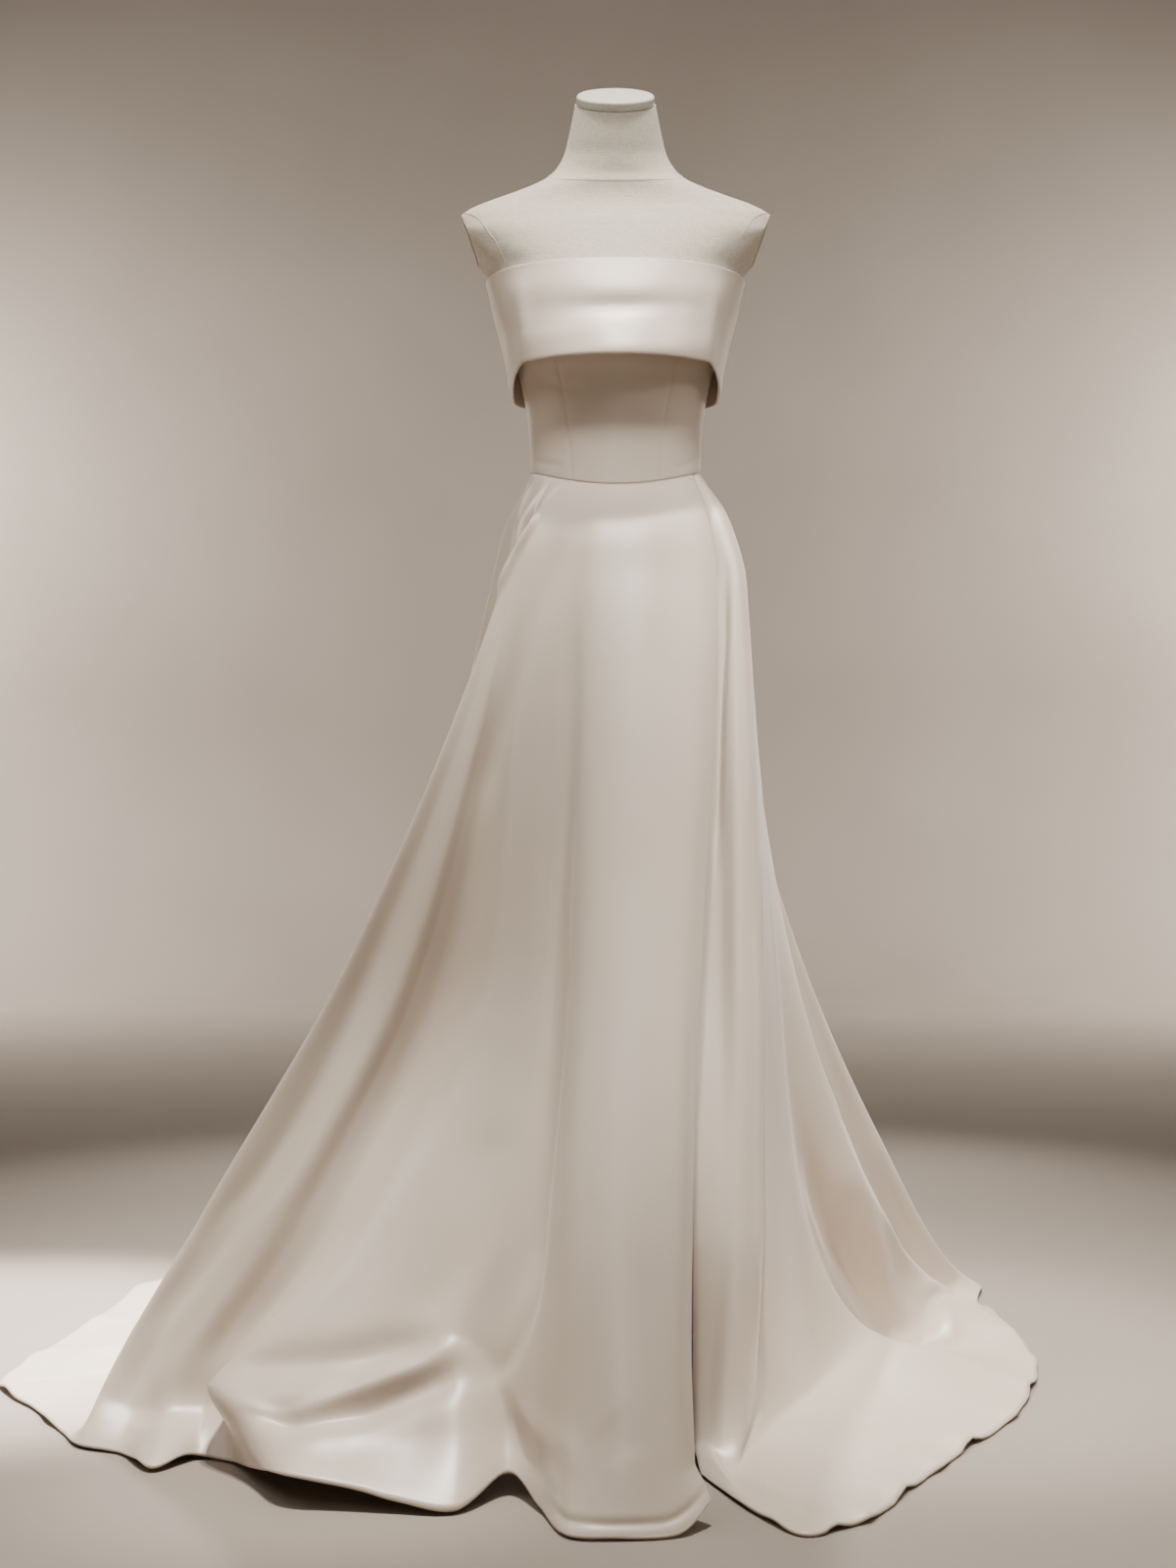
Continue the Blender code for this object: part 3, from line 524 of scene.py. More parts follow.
def cutArms(solid):
    for side in (1, -1):
        point = Vector((side * torso["armCutPoint"][0], 0, torso["armCutPoint"][2]))
        normal = Vector((side * torso["armCutNormal"][0], 0, torso["armCutNormal"][2]))
        high = {vert for vert in solid.verts if vert.co.z > torso["armCutFrom"]}
        shoulder = [part for part in solid.edges[:] + solid.faces[:] if high.issuperset(part.verts)]
        cut = bmesh.ops.bisect_plane(
            solid, geom=list(high) + shoulder, dist=1e-6, plane_co=point, plane_no=normal, clear_outer=True
        )
        rim = [part for part in cut["geom_cut"] if isinstance(part, bmesh.types.BMEdge)]
        bmesh.ops.edgeloop_fill(solid, edges=rim)


def makeTorso():
    levels = np.linspace(formTable[0, 0], formTable[-1, 0], torso["levels"])
    around = np.radians(np.arange(0, 360, torso["step"]))
    rings = formPoints(levels[:, None], around[None, :])
    piece = ringObject("linenTorso", rings, creamLinen, keep=cutArms)
    finishPiece(piece, "cream_linen", "form_torso")


formSeams = {
    "radius": 0.0005,
    "out": 0.0001,
    # the neck seam's height at the front and at the back
    "neckFront": 1.5145,
    "neckBack": 1.552,
    # a shoulder cap's seam from the shoulder's top down to the band: angle and height
    "capFront": ((72, 1.477), (58, 1.47), (50, 1.459), (47, 1.447), (47, 1.434), (49, 1.42), (53, 1.405)),
    "capBack": ((108, 1.477), (124, 1.47), (132, 1.458), (135, 1.444), (135, 1.43), (132, 1.415),
                (128, 1.402)),
}


def makeFormSeams():
    angles = np.radians(np.arange(0, 361, 4))
    share = 0.5 - 0.5 * np.cos(angles)
    heights = formSeams["neckFront"] + (formSeams["neckBack"] - formSeams["neckFront"]) * share
    ring = formPoints(heights, angles, formSeams["out"])
    pieces = [("neckSeam", ring)]
    for place in ("capFront", "capBack"):
        table = np.array(formSeams[place], float)
        along = np.linspace(0, len(table) - 1, 40)
        smooth = steadyCurve(np.arange(len(table)), table, along)
        for side, label in ((1, "Left"), (-1, "Right")):
            line = formPoints(smooth[:, 1], side * np.radians(smooth[:, 0]), formSeams["out"])
            pieces.append((place + "Seam" + label, line))
    for name, points in pieces:
        finishPiece(seamCurve(name, points, formSeams["radius"], seamLinen), "cream_linen")


armPlate = {
    "halfTall": 0.029, "halfDeep": 0.04, "middle": (0.184514, 0.004, 1.4435), "gap": 0.0003,
    # share of the plate's size, height above the cut, from the underside's rim to the soft middle
    "profile": ((0.97, 0.0), (1.0, 0.0004), (1.0, 0.0008), (0.985, 0.0012), (0.94, 0.0014), (0.6, 0.0016),
                (0.02, 0.0017)),
}


def makeArmPlates():
    normal = Vector(torso["armCutNormal"]).normalized()
    around = np.radians(np.arange(0, 360, 5))
    for side, label in ((1, "Left"), (-1, "Right")):
        out = Vector((side * normal.x, 0, normal.z))
        up = Vector((side * -normal.z, 0, normal.x))
        middle = Vector((side * armPlate["middle"][0], armPlate["middle"][1], armPlate["middle"][2]))
        rings = []
        for share, high in armPlate["profile"]:
            rings.append([
                middle + out * (armPlate["gap"] + high)
                + up * (math.cos(a) * armPlate["halfTall"] * share)
                + Vector((0, math.sin(a) * armPlate["halfDeep"] * share, 0))
                for a in around
            ])
        piece = ringObject("linenArmPlate" + label, rings, creamLinen, 60)
        finishPiece(piece, "cream_linen", "arm_plate_" + label.lower())


neckCap = {
    "radius": 0.0498, "thick": 0.012, "upperRound": 0.0035, "lowerRound": 0.0016, "tilt": 27, "gap": 0.0003,
    "crown": ((0.7, 0.0004), (0.3, 0.0006), (0.02, 0.0006)),  # share of the radius, height over the rim
}


def makeNeckCap():
    tilt = Matrix.Rotation(math.radians(neckCap["tilt"]), 4, "X")
    base = Vector((0, formTable[-1, 4], formTable[-1, 0])) + tilt @ Vector((0, 0, neckCap["gap"]))
    radius, thick = neckCap["radius"], neckCap["thick"]
    profile = []
    for turn in quarterTurns(4):
        edge = neckCap["lowerRound"]
        profile.append((radius - edge * (1 - math.sin(turn)), edge * (1 - math.cos(turn))))
    for turn in quarterTurns(8):
        edge = neckCap["upperRound"]
        profile.append((radius - edge * (1 - math.cos(turn)), thick - edge * (1 - math.sin(turn))))
    profile += [(radius * share, thick + rise) for share, rise in neckCap["crown"]]
    around = np.radians(np.arange(0, 360, 3))
    rings = [
        [base + tilt @ Vector((r * math.sin(a), -r * math.cos(a), z)) for a in around] for r, z in profile
    ]
    piece = ringObject("linenNeckCap", rings, capLinen, 60)
    finishPiece(piece, "cream_linen", "neck_cap")


# The bodice

bodice = {
    "wall": 0.0018, "middle": 0.0019, "rows": 96, "waist": 1.148, "frontDip": 0.022, "halfSeam": 0.00015,
    "belowBandTop": 0.0048, "seamRoll": 0.0007, "seamWidth": 0.0028,
}

# name, node, first seam, second seam, columns, cut width and length, cut area
bodicePanels = (
    ("bodiceCentreFront", "bodice_centre_front", (-30, -41), (30, 41), 64, (0.2, 0.3), 0.046),
    ("bodiceSideFrontLeft", "bodice_side_front_left", (30, 41), (90, 90), 48, (0.13, 0.285), 0.029),
    ("bodiceSideFrontRight", "bodice_side_front_right", (-90, -90), (-30, -41), 48, (0.13, 0.285), 0.029),
    ("bodiceSideBackLeft", "bodice_side_back_left", (90, 90), (148, 140), 44, (0.13, 0.27), 0.026),
    ("bodiceSideBackRight", "bodice_side_back_right", (-148, -140), (-90, -90), 44, (0.13, 0.27), 0.026),
    ("bodiceBackLeft", "bodice_back_left", (148, 140), (180, 180), 30, (0.1, 0.27), 0.021),
    ("bodiceBackRight", "bodice_back_right", (-180, -180), (-148, -140), 30, (0.1, 0.27), 0.021),
)

# name, width mm, depth mm, then (angle, height) along each soft crease
bodiceCreases = (
    ("waistPullLeft", 5, -0.8, ((-78, 1.166), (-58, 1.158), (-36, 1.15))),
    ("waistPullRight", 5, -0.7, ((80, 1.172), (62, 1.16), (40, 1.148))),
    ("underBandLeft", 7, -0.7, ((-52, 1.262), (-34, 1.246), (-16, 1.243))),
    ("underBandRight", 7, -0.6, ((20, 1.244), (38, 1.25), (56, 1.268))),
    ("ribLeft", 6, 0.6, ((-70, 1.215), (-54, 1.205), (-34, 1.204))),
    ("ribRight", 6, 0.6, ((36, 1.19), (54, 1.194), (72, 1.206))),
    ("frontSoft", 12, 0.5, ((-20, 1.218), (0, 1.222), (22, 1.219))),
    ("backPullLeft", 5, -0.8, ((168, 1.178), (146, 1.168), (118, 1.166))),
    ("backPullRight", 5, -0.7, ((-170, 1.184), (-150, 1.17), (-122, 1.164))),
    ("backHighLeft", 6, -0.6, ((172, 1.228), (150, 1.222), (128, 1.226))),
    ("backHighRight", 7, -0.5, ((-166, 1.24), (-146, 1.23), (-120, 1.232))),
)


def waistHeight(angle):
    return bodice["waist"] - bodice["frontDip"] * np.maximum(0.0, np.cos(angle)) ** 2


def bandTop(angle):
    toSide = 1 - np.maximum(0.0, np.cos(angle)) ** 2
    return band["topFront"] + (band["topSide"] - band["topFront"]) * toSide


def bodicePlace(point):
    return formPoints(point[1], math.radians(point[0]), bodice["middle"])


rollPlaces = np.array((0.12, 0.35))  # extra columns beside a seam, as shares of the first and last column


def edgeFirst(count):
    # places from 0 to 1 with extra ones close to both ends, for the rolled seams
    inner = np.linspace(0, 1, count + 1)
    extra = inner[1] * rollPlaces
    return np.unique(np.concatenate([inner, extra, 1 - extra]))


def rollSeams(grid, outwards, roll, width):
    run = np.linalg.norm(np.diff(grid, axis=1), axis=2)
    along = np.concatenate([np.zeros((len(grid), 1)), np.cumsum(run, axis=1)], axis=1)
    fromEdge = np.minimum(along, along[:, -1:] - along)
    grid -= outwards * (roll * np.exp(-(fromEdge / width) ** 2))[..., None]


def openSeams(grid, half):
    # draws a panel's side edges in from its two seams
    across = np.gradient(grid, axis=1)
    across /= np.maximum(np.linalg.norm(across, axis=2, keepdims=True), 1e-9)
    grid[:, 0] += across[:, 0] * half
    grid[:, -1] -= across[:, -1] * half


def makeBodice():
    for name, node, first, second, columns, flat, area in bodicePanels:
        share = edgeFirst(columns)[None, :]
        atWaist = np.radians(first[0] + (second[0] - first[0]) * share)
        atTop = np.radians(first[1] + (second[1] - first[1]) * share)
        low = waistHeight(atWaist) + bodice["halfSeam"]
        high = bandTop(atTop) - bodice["belowBandTop"]
        up = np.linspace(0, 1, bodice["rows"] + 1)[:, None]
        height = low + (high - low) * up
        rise = (height - bodice["waist"]) / (band["topFront"] - bodice["waist"])
        angle = atWaist + (atTop - atWaist) * rise
        grid = formPoints(height, angle, bodice["middle"])
        outwards = outwardOf(grid)
        openSeams(grid, bodice["halfSeam"])
        pressCreases(grid, outwards, bodiceCreases, bodicePlace)
        rollSeams(grid, outwards, bodice["seamRoll"], bodice["seamWidth"])
        piece = gridObject(name, grid, ivorySatin)
        thicken(piece, bodice["wall"])
        finishPiece(piece, "ivory_satin", node)


# The fold-over band

band = {
    "topFront": 1.402, "topSide": 1.392, "lowFront": 1.2756, "lowSide": 1.241,
    "cornerFrom": 46, "cornerSpan": 36, "wall": 0.003, "inside": 0.0036, "insideGap": 0.0008,
    "insideRound": 0.0006, "foldThick": 0.0042, "edgeRound": 0.0014, "rows": 60, "columns": 180,
    "halfSeamTurn": 0.0013,
    "dentHeight": 1.337, "dentDepth": 0.0036, "dentTall": 0.016, "dentAngle": 27, "freeFrom": 0.03,
}

# height, then how far the band stands off the bodice at the front, at the sides and at the back
bandStandOffs = np.array((
    (1.24, 0.06, 0.0118, 0.008),
    (1.258, 0.052, 0.0132, 0.0066),
    (1.28, 0.0405, 0.0108, 0.005),
    (1.32, 0.0175, 0.0062, 0.003),
    (1.36, 0.003, 0.0018, 0.001),
    (1.398, 0.0, 0.0, 0.0),
))

# name, angle and height of the middle, half width in degrees, half height in mm,
# slope of the fold in cm per degree, depth in mm
bandReliefs = (
    ("leftFrontFold", -46, 1.316, 6.5, 48, 0.1, 4.4),
    ("rightFrontFold", 48, 1.318, 6, 48, -0.06, 4.6),
    ("frontHollow", 0, 1.335, 22, 14, 0.02, -2.8),
    ("upperSwell", -4, 1.372, 34, 12, 0.0, 0.4),
    ("lowerSwell", 3, 1.28, 38, 14, 0.02, 3.0),
    ("leftSideSoft", -76, 1.31, 9, 26, 0.2, -1.6),
    ("rightSideSoft", 78, 1.306, 8, 28, -0.24, -1.5),
    ("backSoftLeft", 150, 1.322, 15, 8, 0.12, -1.4),
    ("backSoftRight", -156, 1.33, 18, 7, -0.06, -1.2),
    ("backFoldLeft", 122, 1.316, 7, 34, 0.1, 1.6),
    ("backFoldRight", -126, 1.312, 8, 36, 0.05, 1.5),
)


def bandStandOff(height, angle):
    found = steadyCurve(bandStandOffs[:, 0], bandStandOffs[:, 1:], height)
    front, side, back = np.moveaxis(found.reshape(np.shape(height) + (3,)), -1, 0)
    off = side + (np.where(np.cos(angle) > 0, front, back) - side) * np.cos(angle) ** 2
    degrees = (np.degrees(angle) + 180) % 360 - 180
    dentAway = (height - band["dentHeight"]) / band["dentTall"]
    dent = np.exp(-dentAway ** 2 - (degrees / band["dentAngle"]) ** 2)
    off = np.maximum(0.0, off - band["dentDepth"] * dent)
    # the folds die out at the top edge
    free = np.clip((bandTop(angle) - height) / band["freeFrom"], 0.0, 1.0)
    for _, middle, high, wide, tall, slope, depth in bandReliefs:
        away = (degrees - middle + 180) % 360 - 180
        drop = (height - high) / mm - slope * away * 10
        off = off + free * depth * mm * np.exp(-(away / wide) ** 2 - (drop / tall) ** 2)
    return np.maximum(0.0, off)


def bandLow(angle):
    degrees = np.abs((np.degrees(angle) + 180) % 360 - 180)
    share = np.clip((degrees - band["cornerFrom"]) / band["cornerSpan"], 0.0, 1.0)
    return band["lowFront"] + (band["lowSide"] - band["lowFront"]) * eased(share)


def bandRings(first, last):
    angles = np.radians(np.linspace(first, last, band["columns"] + 1))
    angles[0] += band["halfSeamTurn"]
    angles[-1] -= band["halfSeamTurn"]
    rings = []
    for angle in angles:
        high, low = float(bandTop(angle)), float(bandLow(angle))
        under = high - band["foldThick"]
        half = band["wall"] / 2
        heights = np.linspace(low + half, under, band["rows"])
        face = band["inside"] + bandStandOff(heights, np.full(len(heights), angle))
        outside = list(zip(face + band["wall"], heights))
        edge, inner, back = band["edgeRound"], band["insideRound"], band["insideGap"]
        crown = []
        for turn in quarterTurns(5):
            out = face[-1] + band["wall"] - edge * (1 - math.cos(turn))
            crown.append((out, high - edge * (1 - math.sin(turn))))
        crown += [(back + inner, high), (back, high - inner), (back, under)]
        inside = list(zip(face[::-1], heights[::-1]))
        lip = []
        for step in range(1, 6):
            turn = math.radians(180 * step / 6)
            lip.append((face[0] + half - half * math.cos(turn), low + half - half * math.sin(turn)))
        section = np.array(outside + crown + inside + lip)
        rings.append(formPoints(section[:, 1], angle, section[:, 0]))
    return rings


def makeBand():
    halves = (
        ("foldOverBandFront", "band_front", -90, 90, (0.44, 0.175), 0.075),
        ("foldOverBandBack", "band_back", 90, 270, (0.4, 0.175), 0.068),
    )
    for name, node, first, last, flat, area in halves:
        piece = ringObject(name, bandRings(first, last), ivorySatin, 60)
        finishPiece(piece, "ivory_satin", node)


# The skirt

skirt = {
    "hip": 1.0, "knee": 0.55, "shin": 0.25, "yokeDrop": 0.4, "yokeSwell": 0.62, "wall": 0.0018,
    "hemWall": 0.003, "hemTurned": 0.036, "hemFade": 1.6, "waveFade": 1.4, "seamRoll": 0.0012,
    "seamWidth": 0.004, "floorGap": 0.0006, "halfSeam": 0.00015,
    "rowsPerStretch": (10, 12, 38, 36, 30, 12, 14), "leastColumns": 15, "degreesPerColumn": 1.0,
    "crowding": 0.1, "shelfRise": 0.8, "shelfRound": 0.008, "footStation": 5,
}

# mm, with the angle in degrees: name, angle, hip x y, knee x y, shin x y, foot x y z, tuck, hem x y z
foldLines = (
    ("slitEdge", 65, 124, -120, 98, -280, 82, -470, 75, -600, 60, 0, 90, -622, 26),
    ("bellyRight", 46, 100, -141, 70, -318, 56, -505, 50, -625, 60, 0, 56, -660, 3),
    ("belly", 22, 46, -158, 14, -340, 0, -525, -5, -640, 60, 0, -10, -671, 3),
    ("bellyLeft", 2, -8, -160, -32, -334, -46, -512, -50, -618, 60, 0, -54, -664, 3),
    ("bellyFlank", -12, -33, -157, -54, -308, -74, -472, -84, -552, 75, 5, -84, -580, 6),
    ("frontCrease", -22, -53, -147, -65, -268, -93, -408, -126, -468, 108, 8, -119, -520, 24),
    ("broadOne", -27, -70, -141, -86, -262, -139, -402, -185, -452, 146, 16, -173, -588, 5),
    ("broadTwo", -30, -83, -135, -106, -257, -188, -378, -226, -464, 124, 26, -235, -583, 14),
    ("broadThree", -32.5, -94, -129, -124, -248, -229, -360, -282, -462, 102, 26, -290, -574, 26),
    ("noseCrest", -35, -104, -123, -137, -241, -260, -346, -350, -466, 84, 4, -352, -560, 34),
    ("noseTip", -37, -111, -118, -148, -233, -288, -322, -456, -402, 88, 0, -396, -480, 18),
    ("noseUnder", -39, -116, -114, -198, -180, -326, -282, -440, -345, 55, 0, -432, -405, 3),
    ("leftBowl", -41, -121, -110, -226, -187, -362, -270, -470, -335, 52, 0, -470, -392, 3),
    ("leftRidge", -43, -126, -107, -246, -199, -396, -273, -515, -345, 50, 0, -512, -440, 4),
    ("leftValley", -45, -132, -101, -288, -180, -441, -240, -558, -312, 42, 0, -560, -372, 3),
    ("mainRidge", -48, -141, -94, -318, -182, -487, -227, -596, -302, 52, 0, -612, -345, 4),
    ("behindRidge", -58, -131, -68, -290, -112, -456, -145, -575, -235, 15, 0, -642, -292, 4),
    ("sidePleat", -73, -140, -30, -292, -52, -460, -78, -600, -130, 20, 0, -702, -185, 5),
    ("leftSeam", -88, -138, 6, -278, 12, -450, 20, -600, -20, 12, 0, -768, -85, 5),
    ("backSideRidge", -106, -163, 48, -276, 104, -466, 160, -630, 120, 25, 0, -752, 100, 3),
    ("backSideValley", -120, -146, 88, -256, 170, -408, 260, -580, 270, 12, 0, -722, 310, 3),
    ("backLeftRidge", -134, -133, 124, -245, 250, -390, 400, -540, 470, 30, 0, -686, 530, 3),
    ("backLeftValley", -147, -95, 130, -170, 270, -270, 430, -370, 580, 12, 0, -560, 685, 3),
    ("trainLeftRidge", -160, -66, 156, -120, 340, -190, 530, -250, 680, 30, 0, -340, 785, 3),
    ("trainLeftTrough", -170, -33, 144, -58, 312, -90, 510, -120, 690, 12, 0, -170, 815, 3),
    ("centreBack", -180, 0, 152, 0, 330, 0, 535, 0, 710, 20, 0, 0, 825, 3),
    ("trainRightTrough", -190, 33, 144, 58, 312, 86, 505, 115, 680, 12, 0, 155, 810, 3),
    ("trainRightRidge", -200, 66, 156, 120, 335, 180, 515, 235, 665, 30, 0, 305, 770, 3),
    ("backRightValley", -213, 95, 130, 160, 265, 240, 415, 320, 550, 12, 0, 440, 660, 3),
    ("backRightRidge", -227, 118, 126, 241, 172, 378, 320, 510, 470, 34, 0, 548, 512, 3),
    ("rightSeam", -240, 136, 72, 205, 95, 310, 200, 450, 360, 12, 0, 528, 380, 3),
    ("rightRidge", -251, 148, 40, 222, 22, 318, 60, 448, 250, 60, 0, 545, 270, 3),
    ("trough", -262, 149, 8, 199, -58, 236, -26, 368, 96, 6, 0, 550, 130, 3),
    ("flareBack", -269, 156, -14, 198, -94, 226, -92, 324, -22, 56, 0, 525, -72, 4),
    ("flareMid", -275, 160, -28, 191, -118, 211, -138, 255, -140, 28, 0, 450, -260, 3),
    ("flareFront", -279, 162, -38, 185, -140, 194, -188, 205, -270, 28, 0, 350, -430, 3),
    ("tubeCrease", -283, 163, -48, 179, -162, 177, -238, 150, -400, 18, 0, 250, -610, 3),
    ("tubeSide", -286, 161, -82, 169, -212, 161, -312, 130, -455, 12, 0, 182, -660, 3),
    ("tubeFront", -289, 147, -105, 143, -238, 136, -345, 113, -452, 12, 0, 141, -598, 5),
    ("tubeLeft", -292, 131, -104, 121, -226, 113, -346, 97, -412, 28, 0, 104, -500, 3),
    ("slitUnder", -295, 114, -96, 90, -228, 84, -354, 82, -394, 20, 0, 88, -452, 3),
)

# mm: how far the cloth turns out before it comes to the foot of these folds
shelfDepths = {"broadOne": 9, "broadTwo": 24, "broadThree": 36, "noseCrest": 46, "noseTip": 12}

